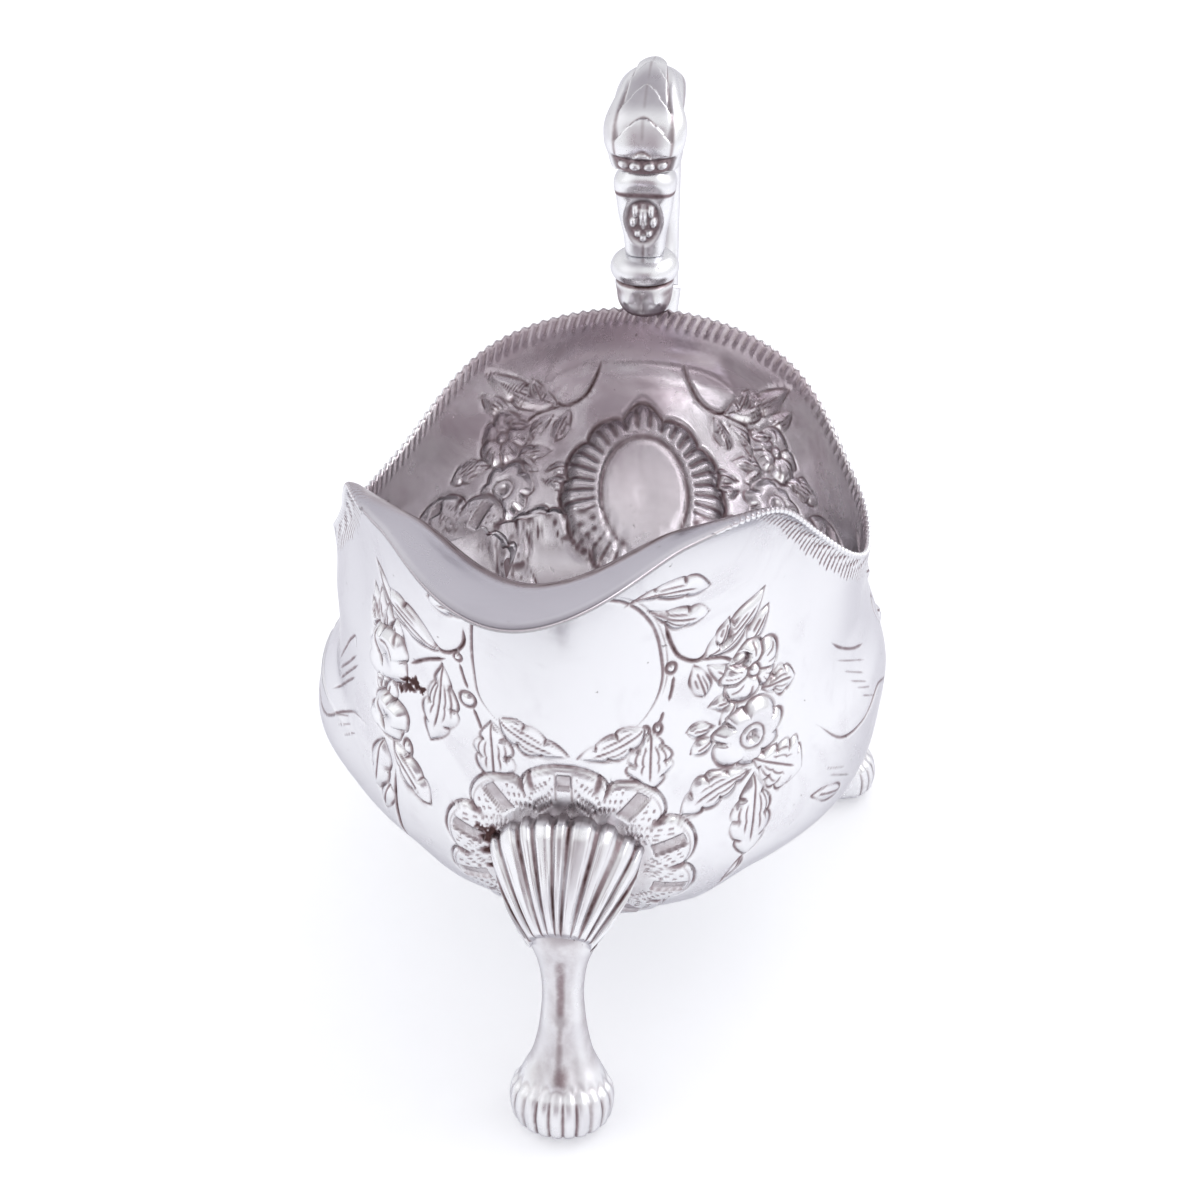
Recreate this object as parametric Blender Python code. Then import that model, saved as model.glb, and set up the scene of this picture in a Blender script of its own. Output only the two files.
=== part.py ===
"""A silver sauce boat on three shell feet, with a leaf-capped double-scroll handle.

Run with: blender --background --python part.py

The frame: +Z up, z = 0 on the table, the pouring lip towards -Y, the handle towards +Y, and x = 0 the
plane of symmetry. The origin lies on the table under the middle of the whole piece. Sizes are in
millimetres and are turned into metres by MM where a mesh is made.
"""

import math

import bmesh
import bpy
import numpy as np

MM = 0.001
GAP = 0.3  # clearance left between soldered neighbours
SHARP_EDGE = math.radians(40)

# Bowl. The rim runs from the lip (0 degrees) round to the handle (180 degrees), as reach from the origin
# and height above the table. The belly below it is an ellipse in plan.
WALL = 0.8
RIM_ANGLES = (0, 18, 36, 54, 75, 100, 125, 152, 180)
RIM_REACH = (81.5, 65.0, 50.0, 42.5, 41.0, 42.5, 47.0, 52.5, 55.0)
RIM_HEIGHT = (107.5, 109.5, 103.5, 92.0, 80.5, 73.0, 73.5, 85.5, 89.0)
BELLY_CENTRE_Y = 6.5
BELLY_HALF_WIDTH = 45.0
BELLY_HALF_LENGTH = 48.0
BELLY_HEIGHT = 50.0
FOOT_OF_BOWL = 17.0  # height of the lowest point of the bowl
BOTTOM_FULLNESS = 2.45  # exponent of the bottom's rounding: 2 is an ellipse, more is fuller
# How the wall leaves the belly and arrives at the rim, as end tangents of a cubic.
FLARE_ANGLES = (0, 36, 75, 180)
RISE_AT_BELLY = (110, 70, 15, 32)
OUTWARD_AT_RIM = (62, 30, 8, 14)
UPWARD_AT_RIM = (-8, 14, 22, 36)
BOWL_SEGMENTS = 68
LIP_CROWDING = 0.4  # how much closer together the segments stand at the lip
BOTTOM_RINGS = 7
WALL_RINGS = 9
FILLED_WALL_RINGS = 4  # how far up the wall the legs and the lower scroll reach
SLOPE_STEP = 1e-3

# Legs. Each stands in a vertical plane through the belly's centre, at a direction in degrees from +X
# and a shift towards or away from the centre. The sections run up from the table as height, distance
# out from the belly's centre, width across the plane and depth along it.
LEG_STANDS = {"front": (-90.0, 0.0), "rear_left": (134.0, -4.0), "rear_right": (46.0, -4.0)}
LEG_SECTIONS = (
    (0.0, 56.4, 10.4, 8.6),
    (1.0, 56.5, 13.6, 11.4),
    (3.4, 56.4, 15.2, 13.0),
    (6.4, 56.0, 14.6, 12.4),
    (8.8, 55.4, 12.4, 10.6),
    (11.0, 54.8, 10.0, 8.8),
    (14.5, 54.2, 8.2, 7.2),
    (19.0, 53.6, 6.8, 6.2),
    (24.0, 53.0, 6.2, 5.8),
    (29.0, 52.0, 6.8, 6.2),
    (33.0, 50.2, 7.8, 6.6),
    (37.5, 47.4, 9.0, 6.6),
    (43.0, 43.6, 9.0, 6.4),
)
TURNED_SEGMENTS = 20

# Knee shells: a ribbed fan that opens upwards from the top of a leg and stands off the bowl.
SHELL_CENTRE_HEIGHT = 27.0  # where the fan's rays would meet
SHELL_ROOT_RADIUS = 4.0
SHELL_RAY_ANGLES = (0, 12, 24, 36, 43)
SHELL_RAY_LENGTHS = (24.2, 23.7, 22.2, 18.0, 8.0)
SHELL_THICKNESS = 1.5
SHELL_ROOT_OUT = 55.4
SHELL_TIP_OUT = 51.8
SHELL_BULGE = 2.2
SHELL_WRAP = 4.6  # how far the fan curls back towards the bowl, 10 mm to the side of its middle
SHELL_RIBS = 9
SHELL_RIB_DEPTH = 0.35
SHELL_STEPS_ACROSS = 28
SHELL_STEPS_ALONG = 8

# Handle, in the plane of symmetry: a knop notched over the rim, a tapering stem, the upper scroll with
# its leaf cap, and the lower scroll that comes back to the bowl.
KNOP_AXIS_Y = 54.6
# The knop's turned outline, from its underside up, as (height, radius): a cup, then a collar.
KNOP_OUTLINE = (
    (88.9, 2.0),
    (89.5, 3.4),
    (91.0, 4.5),
    (93.2, 4.9),
    (95.2, 5.0),
    (95.7, 5.4),
    (97.2, 5.8),
    (98.8, 5.4),
    (99.8, 4.4),
)
# The stem's sections as (height, y, width, depth).
STEM_SECTIONS = (
    (100.1, 54.9, 7.6, 6.4),
    (103.0, 55.0, 8.0, 6.8),
    (107.0, 55.2, 9.0, 7.4),
    (110.4, 55.4, 9.6, 7.6),
    (111.2, 55.5, 10.4, 8.6),
    (113.2, 55.6, 10.2, 8.6),
    (114.4, 55.8, 8.6, 7.4),
)
# Scrolls as (y, z) points along the centre line, with the width and depth of the section at each.
UPPER_SCROLL_PATH = (
    (55.9, 114.8),
    (56.1, 118.8),
    (59.8, 123.4),
    (66.4, 124.4),
    (73.0, 121.0),
    (77.4, 113.6),
    (78.7, 104.0),
    (77.4, 93.6),
    (73.8, 85.6),
)
UPPER_SCROLL_WIDTH = (6.4, 8.6, 9.2, 8.8, 8.0, 7.2, 6.8, 6.6, 7.2)
UPPER_SCROLL_DEPTH = (6.0, 6.4, 6.2, 5.8, 5.6, 5.4, 5.2, 5.2, 6.2)
LOWER_SCROLL_PATH = (
    (73.6, 85.1),
    (72.2, 81.6),
    (74.2, 75.4),
    (74.2, 67.0),
    (69.4, 59.6),
    (61.6, 56.4),
    (52.0, 55.4),
)
LOWER_SCROLL_WIDTH = (8.2, 7.6, 6.6, 6.2, 6.2, 6.8, 9.0)
LOWER_SCROLL_DEPTH = (6.8, 6.2, 5.2, 5.0, 5.0, 6.0, 8.4)
SCROLL_SQUARENESS = 2.6  # exponent of the sections' outline: 2 is an ellipse
SCROLL_SEGMENTS = 16
SCROLL_STEPS = 26
LEAF_SPAN = (0.02, 0.52)  # shares of the upper scroll's length that the leaf covers
LEAF_THICKNESS = 1.2
LEAF_STAND_OFF = 0.9  # on top of the gap, so that the leaf clears the scroll's squarer corners
LEAF_HALF_WRAP = 1.9  # radians round the scroll's section, each way from its back
LEAF_NARROWEST = 0.25
LEAF_STEPS_ALONG = 18
LEAF_STEPS_ROUND = 15

SILVER_COLOUR = (0.80, 0.79, 0.80, 1.0)


def hermite(start, start_pull, end, end_pull, t):
    return (
        start * (1 + 2 * t) * (1 - t) ** 2
        + start_pull * t * (1 - t) ** 2
        + end * t * t * (3 - 2 * t)
        + end_pull * t * t * (t - 1)
    )


def cubic(knots, values, slopes, at):
    """A cubic curve through the knots with the slopes given there."""
    i = np.clip(np.searchsorted(knots, at) - 1, 0, len(knots) - 2)
    span = knots[i + 1] - knots[i]
    t = (at - knots[i]) / span
    return hermite(values[i], slopes[i] * span, values[i + 1], slopes[i + 1] * span, t)


def round_the_bowl(knots, values, at):
    """A cubic curve through the knots that is flat where it meets the plane of symmetry."""
    knots = np.asarray(knots, float)
    values = np.asarray(values, float)
    slopes = np.gradient(values, knots)
    slopes[0] = slopes[-1] = 0.0
    return cubic(knots, values, slopes, at)


def along_the_path(values, share):
    """A cubic curve through evenly spaced values, at a share from 0 to 1 of their length."""
    values = np.asarray(values, float)
    knots = np.linspace(0.0, 1.0, len(values))
    return cubic(knots, values, np.gradient(values, knots), share)


def belly_reach(angle):
    """Distance from the origin to the belly's ellipse, at an angle from the lip."""
    across = np.sin(angle) / BELLY_HALF_WIDTH
    along = -np.cos(angle) / BELLY_HALF_LENGTH
    centre = BELLY_CENTRE_Y / BELLY_HALF_LENGTH
    a = across**2 + along**2
    b = along * centre
    return (b + np.sqrt(b * b - a * (centre**2 - 1))) / a


def bottom_point(angle, level):
    """The rounded bottom: level 0 is its lowest point and level 1 is the belly."""
    low = np.clip(level, 0.0, 1.0) * np.pi / 2
    spread = np.sin(low) ** (2 / BOTTOM_FULLNESS)
    lift = 1 - np.cos(low) ** (2 / BOTTOM_FULLNESS)
    centre = np.array([0.0, BELLY_CENTRE_Y])
    belly = np.stack([np.sin(angle), -np.cos(angle)], -1) * belly_reach(angle)[..., None]
    plan = centre + (belly - centre) * spread[..., None]
    height = FOOT_OF_BOWL + (BELLY_HEIGHT - FOOT_OF_BOWL) * lift
    return np.concatenate([plan, height[..., None]], -1)


def wall_point(angle, t):
    """The wall: t 0 is the belly and t 1 is the rim."""
    degrees = np.degrees(np.abs((angle + np.pi) % (2 * np.pi) - np.pi))
    reach = hermite(
        belly_reach(angle),
        0.0,
        round_the_bowl(RIM_ANGLES, RIM_REACH, degrees),
        round_the_bowl(FLARE_ANGLES, OUTWARD_AT_RIM, degrees),
        t,
    )
    height = hermite(
        BELLY_HEIGHT,
        round_the_bowl(FLARE_ANGLES, RISE_AT_BELLY, degrees),
        round_the_bowl(RIM_ANGLES, RIM_HEIGHT, degrees),
        round_the_bowl(FLARE_ANGLES, UPWARD_AT_RIM, degrees),
        t,
    )
    return np.stack([np.sin(angle) * reach, -np.cos(angle) * reach, height], -1)


def bowl_point(angle, level):
    """The bowl's outer surface. Level is 0 at the bottom, 1 at the belly and 2 at the rim."""
    above = (level > 1.0)[..., None]
    return np.where(above, wall_point(angle, level - 1.0), bottom_point(angle, level))


def bowl_ring(level, distance):
    """A ring of the bowl's surface, moved along its outward normal by a distance."""
    turn = np.linspace(0, 2 * np.pi, BOWL_SEGMENTS, endpoint=False)
    angle = turn - LIP_CROWDING * np.sin(turn)
    level = np.full_like(angle, level)
    around = bowl_point(angle + SLOPE_STEP, level) - bowl_point(angle - SLOPE_STEP, level)
    upward = bowl_point(angle, level + SLOPE_STEP) - bowl_point(angle, level - SLOPE_STEP)
    normal = np.cross(around, upward)
    normal /= np.linalg.norm(normal, axis=-1, keepdims=True)
    return bowl_point(angle, level) + normal * distance


def bowl_rings(distance, beyond_rim=0.0):
    """Rings from near the bottom to the rim. The last can be carried on past the rim."""
    levels = [*np.linspace(0, 1, BOTTOM_RINGS + 1)[1:], *np.linspace(1, 2, WALL_RINGS + 1)[1:]]
    rings = [bowl_ring(level, distance) for level in levels]
    last_step = rings[-1] - rings[-2]
    last_step /= np.linalg.norm(last_step, axis=-1, keepdims=True)
    rings[-1] = rings[-1] + last_step * beyond_rim
    return rings


def bowl_pole(distance):
    return (0.0, BELLY_CENTRE_Y, FOOT_OF_BOWL - distance)


def make_material(name, roughness):
    material = bpy.data.materials.new(name)
    material.use_nodes = True
    shader = material.node_tree.nodes["Principled BSDF"]
    shader.inputs["Base Color"].default_value = SILVER_COLOUR
    shader.inputs["Metallic"].default_value = 1.0
    shader.inputs["Roughness"].default_value = roughness
    return material


def finish_mesh(name, builder, material=None):
    """A mesh from a bmesh: faces out, smooth between its sharp edges."""
    bmesh.ops.recalc_face_normals(builder, faces=builder.faces)
    if builder.calc_volume(signed=True) < 0:
        bmesh.ops.reverse_faces(builder, faces=builder.faces)
    mesh = bpy.data.meshes.new(name)
    builder.to_mesh(mesh)
    builder.free()
    mesh.shade_smooth()
    mesh.set_sharp_from_angle(angle=SHARP_EDGE)
    if material:
        mesh.materials.append(material)
    return mesh


def add_object(name, mesh):
    made = bpy.data.objects.new(name, mesh)
    bpy.context.scene.collection.objects.link(made)
    return made


def add_cutter(name, builder):
    cutter = add_object(name, finish_mesh(name, builder))
    cutter.hide_render = True
    cutter.display_type = "WIRE"
    return cutter


def subtract(target, cutter):
    cut = target.modifiers.new("clear_of_" + cutter.name, "BOOLEAN")
    cut.operation = "DIFFERENCE"
    cut.object = cutter
    cut.solver = "EXACT"


def add_ring(builder, points):
    return [builder.verts.new(np.asarray(point, float) * MM) for point in points]


def join_rings(builder, first, second):
    for i in range(len(first)):
        j = (i + 1) % len(first)
        builder.faces.new((first[i], first[j], second[j], second[i]))


def close_ring(builder, ring, point):
    tip = builder.verts.new(np.asarray(point, float) * MM)
    for i, vertex in enumerate(ring):
        builder.faces.new((vertex, ring[(i + 1) % len(ring)], tip))


def loft(rings, first_tip, last_tip):
    """A closed body through rings of points, ended by a fan round each tip."""
    builder = bmesh.new()
    made = [add_ring(builder, ring) for ring in rings]
    for first, second in zip(made, made[1:]):
        join_rings(builder, first, second)
    close_ring(builder, made[0], first_tip)
    close_ring(builder, made[-1], last_tip)
    return builder


def grid_edge(rows):
    """The vertices round the edge of a grid, in order."""
    right = [row[-1] for row in rows[1:]]
    left = [row[0] for row in rows[-2:0:-1]]
    return [*rows[0], *right, *rows[-1][-2::-1], *left]


def curved_plate(point, across_shares, along_shares, depths):
    """A closed plate between two surfaces point(across, along, depth), one for each depth."""
    builder = bmesh.new()
    edges = []
    for depth in depths:
        rows = [add_ring(builder, [point(u, v, depth) for u in across_shares]) for v in along_shares]
        for low, high in zip(rows, rows[1:]):
            for i in range(len(low) - 1):
                builder.faces.new((low[i], low[i + 1], high[i + 1], high[i]))
        edges.append(grid_edge(rows))
    join_rings(builder, *edges)
    return builder


def bowl_wall(gap):
    """The bowl's wall as a closed body, made thicker by a gap on every side."""
    builder = bmesh.new()
    rims = []
    for distance in (gap, -WALL - gap):
        rings = [add_ring(builder, ring) for ring in bowl_rings(distance, gap)]
        for first, second in zip(rings, rings[1:]):
            join_rings(builder, first, second)
        close_ring(builder, rings[0], bowl_pole(distance))
        rims.append(rings[-1])
    join_rings(builder, *rims)
    return builder


def bowl_filled(gap):
    """Everything inside the lower part of the bowl's outer surface, with a gap."""
    rings = bowl_rings(gap)[: BOTTOM_RINGS + FILLED_WALL_RINGS]
    return loft(rings, bowl_pole(gap), rings[-1].mean(axis=0))


def leg_mesh(silver):
    """A leg in its own plane: x is the distance out, y is across and z is up."""
    turns = (np.arange(TURNED_SEGMENTS) + 0.5) / TURNED_SEGMENTS * 2 * np.pi
    rings = [
        [(out + depth / 2 * math.cos(a), width / 2 * math.sin(a), height) for a in turns]
        for height, out, width, depth in LEG_SECTIONS
    ]
    foot = (LEG_SECTIONS[0][1], 0, LEG_SECTIONS[0][0])
    top = (LEG_SECTIONS[-1][1], 0, LEG_SECTIONS[-1][0])
    return finish_mesh("leg", loft(rings, foot, top), silver)


def shell_ray_length(degrees):
    knots = np.asarray(SHELL_RAY_ANGLES, float)
    lengths = np.asarray(SHELL_RAY_LENGTHS, float)
    slopes = np.gradient(lengths, knots)
    slopes[0] = 0.0
    return cubic(knots, lengths, slopes, abs(degrees))


def shell_point(across_share, along_share, depth):
    """A point of a knee shell, in the leg's plane: -1 to 1 across the fan, 0 to 1 from root to edge."""
    degrees = SHELL_RAY_ANGLES[-1] * across_share
    rib = SHELL_RIB_DEPTH * (0.5 + 0.5 * math.cos(math.pi * SHELL_RIBS * across_share))
    length = shell_ray_length(degrees) + rib
    radius = SHELL_ROOT_RADIUS + (length - SHELL_ROOT_RADIUS) * along_share
    across = radius * math.sin(math.radians(degrees))
    rise = radius * math.cos(math.radians(degrees))
    share_up = rise / SHELL_RAY_LENGTHS[0]
    out = SHELL_ROOT_OUT + (SHELL_TIP_OUT - SHELL_ROOT_OUT) * share_up
    out += SHELL_BULGE * math.sin(math.pi * share_up)
    out -= SHELL_WRAP * (across / 10.0) ** 2
    out += rib * along_share
    return (out - depth, across, SHELL_CENTRE_HEIGHT + rise)


def knee_shell_mesh(silver):
    across = np.linspace(-1, 1, SHELL_STEPS_ACROSS)
    along = np.linspace(0, 1, SHELL_STEPS_ALONG)
    plate = curved_plate(shell_point, across, along, (0.0, SHELL_THICKNESS))
    return finish_mesh("knee_shell", plate, silver)


def stand(name, mesh, direction, shift, bowl_cutter):
    """A leg's piece, turned to its direction about the belly's centre and cut to the bowl."""
    made = add_object(name, mesh)
    turn = math.radians(direction)
    made.rotation_euler = (0, 0, turn)
    made.location = (shift * math.cos(turn) * MM, (BELLY_CENTRE_Y + shift * math.sin(turn)) * MM, 0)
    subtract(made, bowl_cutter)


def add_knop(silver, rim_cutter):
    """The turned cup that is notched over the rim, with its collar above."""
    turns = np.linspace(0, 2 * np.pi, TURNED_SEGMENTS, endpoint=False)
    rings = [
        [(radius * math.cos(a), KNOP_AXIS_Y + radius * math.sin(a), height) for a in turns]
        for height, radius in KNOP_OUTLINE
    ]
    under = (0, KNOP_AXIS_Y, KNOP_OUTLINE[0][0])
    top = (0, KNOP_AXIS_Y, KNOP_OUTLINE[-1][0])
    knop = add_object("handle_rim_knop", finish_mesh("rim_knop", loft(rings, under, top), silver))
    subtract(knop, rim_cutter)


def rounded_section(width, depth):
    """Points round a superellipse, as (across, outward) pairs."""
    turns = np.linspace(0, 2 * np.pi, SCROLL_SEGMENTS, endpoint=False)
    power = 2 / SCROLL_SQUARENESS
    across = width / 2 * np.sign(np.sin(turns)) * np.abs(np.sin(turns)) ** power
    outward = depth / 2 * np.sign(np.cos(turns)) * np.abs(np.cos(turns)) ** power
    return np.stack([across, outward], -1)


def add_stem(silver):
    rings = [
        [(across, y + outward, height) for across, outward in rounded_section(width, depth)]
        for height, y, width, depth in STEM_SECTIONS
    ]
    foot = (0, STEM_SECTIONS[0][1], STEM_SECTIONS[0][0])
    top = (0, STEM_SECTIONS[-1][1], STEM_SECTIONS[-1][0])
    add_object("handle_stem", finish_mesh("stem", loft(rings, foot, top), silver))


def scroll_frame(path, share):
    """Centre and outward direction of a scroll, in its (y, z) plane."""
    ys, zs = np.array(path).T
    centre = np.array([along_the_path(ys, share), along_the_path(zs, share)])
    ahead = np.array([along_the_path(ys, share + SLOPE_STEP), along_the_path(zs, share + SLOPE_STEP)])
    behind = np.array([along_the_path(ys, share - SLOPE_STEP), along_the_path(zs, share - SLOPE_STEP)])
    travel = (ahead - behind) / np.linalg.norm(ahead - behind)
    return centre, np.array([-travel[1], travel[0]])


def add_scroll(name, path, widths, depths, silver):
    rings = []
    for share in np.linspace(0, 1, SCROLL_STEPS):
        centre, outward = scroll_frame(path, share)
        section = rounded_section(along_the_path(widths, share), along_the_path(depths, share))
        rings.append([(across, *(centre + outward * along)) for across, along in section])
    body = loft(rings, (0, *path[0]), (0, *path[-1]))
    return add_object(name, finish_mesh(name, body, silver))


def leaf_point(round_share, along_share, lift):
    """A point of the leaf cap: -1 to 1 round the scroll's section, 0 to 1 along the scroll."""
    share = LEAF_SPAN[0] + (LEAF_SPAN[1] - LEAF_SPAN[0]) * along_share
    centre, outward = scroll_frame(UPPER_SCROLL_PATH, share)
    taper = math.sin(math.pi * min(1.0, 0.30 + 0.75 * along_share)) ** 0.5
    turn = LEAF_HALF_WRAP * round_share * max(taper, LEAF_NARROWEST)
    grow = GAP + LEAF_STAND_OFF + lift
    across = (along_the_path(UPPER_SCROLL_WIDTH, share) / 2 + grow) * math.sin(turn)
    along = (along_the_path(UPPER_SCROLL_DEPTH, share) / 2 + grow) * math.cos(turn)
    return (across, *(centre + outward * along))


def add_leaf_cap(silver):
    """A leaf that lies over the top of the upper scroll and wraps round its sides."""
    rounds = np.linspace(-1, 1, LEAF_STEPS_ROUND)
    alongs = np.linspace(0, 1, LEAF_STEPS_ALONG)
    plate = curved_plate(leaf_point, rounds, alongs, (LEAF_THICKNESS, 0.0))
    add_object("handle_leaf_cap", finish_mesh("leaf_cap", plate, silver))


def clear_scene():
    for old in list(bpy.data.objects):
        bpy.data.objects.remove(old)


def add_legs(silver, bowl_cutter):
    leg = leg_mesh(silver)
    knee_shell = knee_shell_mesh(silver)
    for place, (direction, shift) in LEG_STANDS.items():
        stand(place + "_leg", leg, direction, shift, bowl_cutter)
        stand(place + "_knee_shell", knee_shell, direction, shift, bowl_cutter)


def add_handle(silver, bowl_cutter, rim_cutter):
    add_knop(silver, rim_cutter)
    add_stem(silver)
    add_scroll("handle_upper_scroll", UPPER_SCROLL_PATH, UPPER_SCROLL_WIDTH, UPPER_SCROLL_DEPTH, silver)
    add_leaf_cap(silver)
    lower = add_scroll(
        "handle_lower_scroll", LOWER_SCROLL_PATH, LOWER_SCROLL_WIDTH, LOWER_SCROLL_DEPTH, silver
    )
    subtract(lower, bowl_cutter)


def main():
    clear_scene()
    sheet_silver = make_material("sheet_silver", 0.28)
    cast_silver = make_material("cast_silver", 0.32)
    bowl_cutter = add_cutter("bowl_cutter", bowl_filled(GAP))
    rim_cutter = add_cutter("rim_cutter", bowl_wall(GAP))
    add_object("bowl", finish_mesh("bowl", bowl_wall(0.0), sheet_silver))
    add_legs(cast_silver, bowl_cutter)
    add_handle(cast_silver, bowl_cutter, rim_cutter)


main()
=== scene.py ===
"""The looks of a silver sauce boat: a chased and embossed bowl on cast legs, with a leaf-capped handle.

Sizes are in millimetres and become metres where a mesh is made. The bowl's surface is described by an
angle round it, in degrees from the lip (negative towards -X), and a height above the table.
"""

import math

import bpy
import numpy as np
from mathutils import Matrix, Vector


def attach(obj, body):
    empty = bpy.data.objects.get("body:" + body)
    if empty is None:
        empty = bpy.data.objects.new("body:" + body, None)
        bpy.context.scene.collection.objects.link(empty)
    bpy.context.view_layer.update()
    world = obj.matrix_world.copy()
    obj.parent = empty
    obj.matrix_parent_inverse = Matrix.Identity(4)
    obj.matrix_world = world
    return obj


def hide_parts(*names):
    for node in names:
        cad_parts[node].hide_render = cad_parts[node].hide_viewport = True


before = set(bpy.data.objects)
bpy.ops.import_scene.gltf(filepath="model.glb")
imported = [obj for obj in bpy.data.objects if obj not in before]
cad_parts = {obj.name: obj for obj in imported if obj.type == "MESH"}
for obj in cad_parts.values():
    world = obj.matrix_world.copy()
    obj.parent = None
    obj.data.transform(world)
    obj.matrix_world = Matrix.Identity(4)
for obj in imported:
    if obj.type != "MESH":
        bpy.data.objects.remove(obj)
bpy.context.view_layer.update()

MM = 0.001

# Bowl surface, the same curves as the CAD bowl.
WALL = 0.8
RIM_ANGLES = (0, 18, 36, 54, 75, 100, 125, 152, 180)
RIM_REACH = (81.5, 65.0, 50.0, 42.5, 41.0, 42.5, 47.0, 52.5, 55.0)
RIM_HEIGHT = (107.5, 109.5, 103.5, 92.0, 80.5, 73.0, 73.5, 85.5, 89.0)
BELLY_CENTRE_Y = 6.5
BELLY_HALF_WIDTH = 45.0
BELLY_HALF_LENGTH = 48.0
BELLY_HEIGHT = 50.0
FOOT_OF_BOWL = 17.0
BOTTOM_FULLNESS = 2.45
FLARE_ANGLES = (0, 36, 75, 180)
RISE_AT_BELLY = (110, 70, 15, 32)
OUTWARD_AT_RIM = (62, 30, 8, 14)
UPWARD_AT_RIM = (-8, 14, 22, 36)

# Bowl mesh: a fine grid from the bottom over the rim and down the inside, thinned where it is smooth.
COLUMNS = 1600
COLUMN_CROWDING = 0.18  # how much closer together the columns stand at the lip and the handle
OUTER_BOTTOM_ROWS = 180
OUTER_WALL_ROWS = 260
RIM_ROWS = 4
INNER_WALL_ROWS = 176
INNER_BOTTOM_ROWS = 64
FIRST_LEVEL = 0.004
CELL = 4  # fine rows and columns in one coarse cell
CELL_TOLERANCE = 0.021
DARK_AS_HEIGHT = 0.09
INNER_COARSENESS = 0.55
RIM_BULGE = 0.35
CURVE_SPACING = 0.7

# How far each flank stands out of the plain bowl, at heights above the table.
FLANK_LOW = 35.0
LEFT_FLANK = ((20, 0), (25, -0.9), (29, -1.1), (33, -1.0), (36, -0.4), (38, 0.9), (40, 2.1), (42.5, 2.9),
              (45, 2.8), (48.5, 2.0), (51, 0.9), (54, -0.6), (58, -0.4), (63, 0.1), (68, 1.0), (76, 0.8),
              (86, 0))
RIGHT_FLANK = ((19, 0), (23, -1.3), (28, -1.8), (33, -1.1), (37, -0.3), (41, -0.3), (44, -0.5), (48, -0.2),
               (52.5, 0.3), (56, 0.2), (60, -0.7), (65, -1.1), (70, -0.5), (76, 0))


def hermite(start, start_pull, end, end_pull, t):
    return (
        start * (1 + 2 * t) * (1 - t) ** 2
        + start_pull * t * (1 - t) ** 2
        + end * t * t * (3 - 2 * t)
        + end_pull * t * t * (t - 1)
    )


def cubic(knots, values, slopes, at):
    """A cubic curve through the knots with the slopes given there."""
    i = np.clip(np.searchsorted(knots, at) - 1, 0, len(knots) - 2)
    span = knots[i + 1] - knots[i]
    t = (at - knots[i]) / span
    return hermite(values[i], slopes[i] * span, values[i + 1], slopes[i + 1] * span, t)


def smooth(knots, values, at):
    """A cubic curve through the knots."""
    knots = np.asarray(knots, float)
    values = np.asarray(values, float)
    return cubic(knots, values, np.gradient(values, knots), at)


def round_the_bowl(knots, values, at):
    """A cubic curve through the knots that is flat where it meets the plane of symmetry."""
    knots = np.asarray(knots, float)
    values = np.asarray(values, float)
    slopes = np.gradient(values, knots)
    slopes[0] = slopes[-1] = 0.0
    return cubic(knots, values, slopes, at)


def belly_reach(angle):
    across = np.sin(angle) / BELLY_HALF_WIDTH
    along = -np.cos(angle) / BELLY_HALF_LENGTH
    centre = BELLY_CENTRE_Y / BELLY_HALF_LENGTH
    a = across**2 + along**2
    b = along * centre
    return (b + np.sqrt(b * b - a * (centre**2 - 1))) / a


def bottom_point(angle, level):
    low = np.clip(level, 0.0, 1.0) * np.pi / 2
    spread = np.sin(low) ** (2 / BOTTOM_FULLNESS)
    lift = 1 - np.cos(low) ** (2 / BOTTOM_FULLNESS)
    centre = np.array([0.0, BELLY_CENTRE_Y])
    belly = np.stack([np.sin(angle), -np.cos(angle)], -1) * belly_reach(angle)[..., None]
    plan = centre + (belly - centre) * spread[..., None]
    height = FOOT_OF_BOWL + (BELLY_HEIGHT - FOOT_OF_BOWL) * lift
    return np.concatenate([plan, height[..., None]], -1)


def wall_point(angle, t):
    degrees = np.degrees(np.abs((angle + np.pi) % (2 * np.pi) - np.pi))
    reach = hermite(
        belly_reach(angle),
        0.0,
        round_the_bowl(RIM_ANGLES, RIM_REACH, degrees),
        round_the_bowl(FLARE_ANGLES, OUTWARD_AT_RIM, degrees),
        t,
    )
    height = hermite(
        BELLY_HEIGHT,
        round_the_bowl(FLARE_ANGLES, RISE_AT_BELLY, degrees),
        round_the_bowl(RIM_ANGLES, RIM_HEIGHT, degrees),
        round_the_bowl(FLARE_ANGLES, UPWARD_AT_RIM, degrees),
        t,
    )
    return np.stack([np.sin(angle) * reach, -np.cos(angle) * reach, height], -1)


def bowl_point(angle, level):
    """The bowl's plain outer surface. Level is 0 at the bottom, 1 at the belly and 2 at the rim."""
    above = (level > 1.0)[..., None]
    return np.where(above, wall_point(angle, level - 1.0), bottom_point(angle, level))


def bell(distance, width):
    return np.exp(-((distance / width) ** 2))


def ramp(value, start, end):
    """0 before the start, 1 after the end, and smooth between them."""
    t = np.clip((value - start) / (end - start), 0, 1)
    return t * t * (3 - 2 * t)


def unit(vectors):
    return vectors / np.linalg.norm(vectors, axis=-1, keepdims=True)


def level_at(angle, height):
    """The level at which the bowl's surface reaches a height, at one angle in radians."""
    levels = np.linspace(0.02, 2.0, 400)
    heights = bowl_point(np.full_like(levels, angle), levels)[:, 2]
    return np.interp(height, np.maximum.accumulate(heights), levels)


def on_bowl(places):
    """Points of the bowl's surface for (degrees, height) pairs."""
    points = []
    for degrees, height in places:
        angle = np.array([math.radians(degrees)])
        points.append(bowl_point(angle, np.array([level_at(angle[0], height)]))[0])
    return np.array(points)


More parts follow.
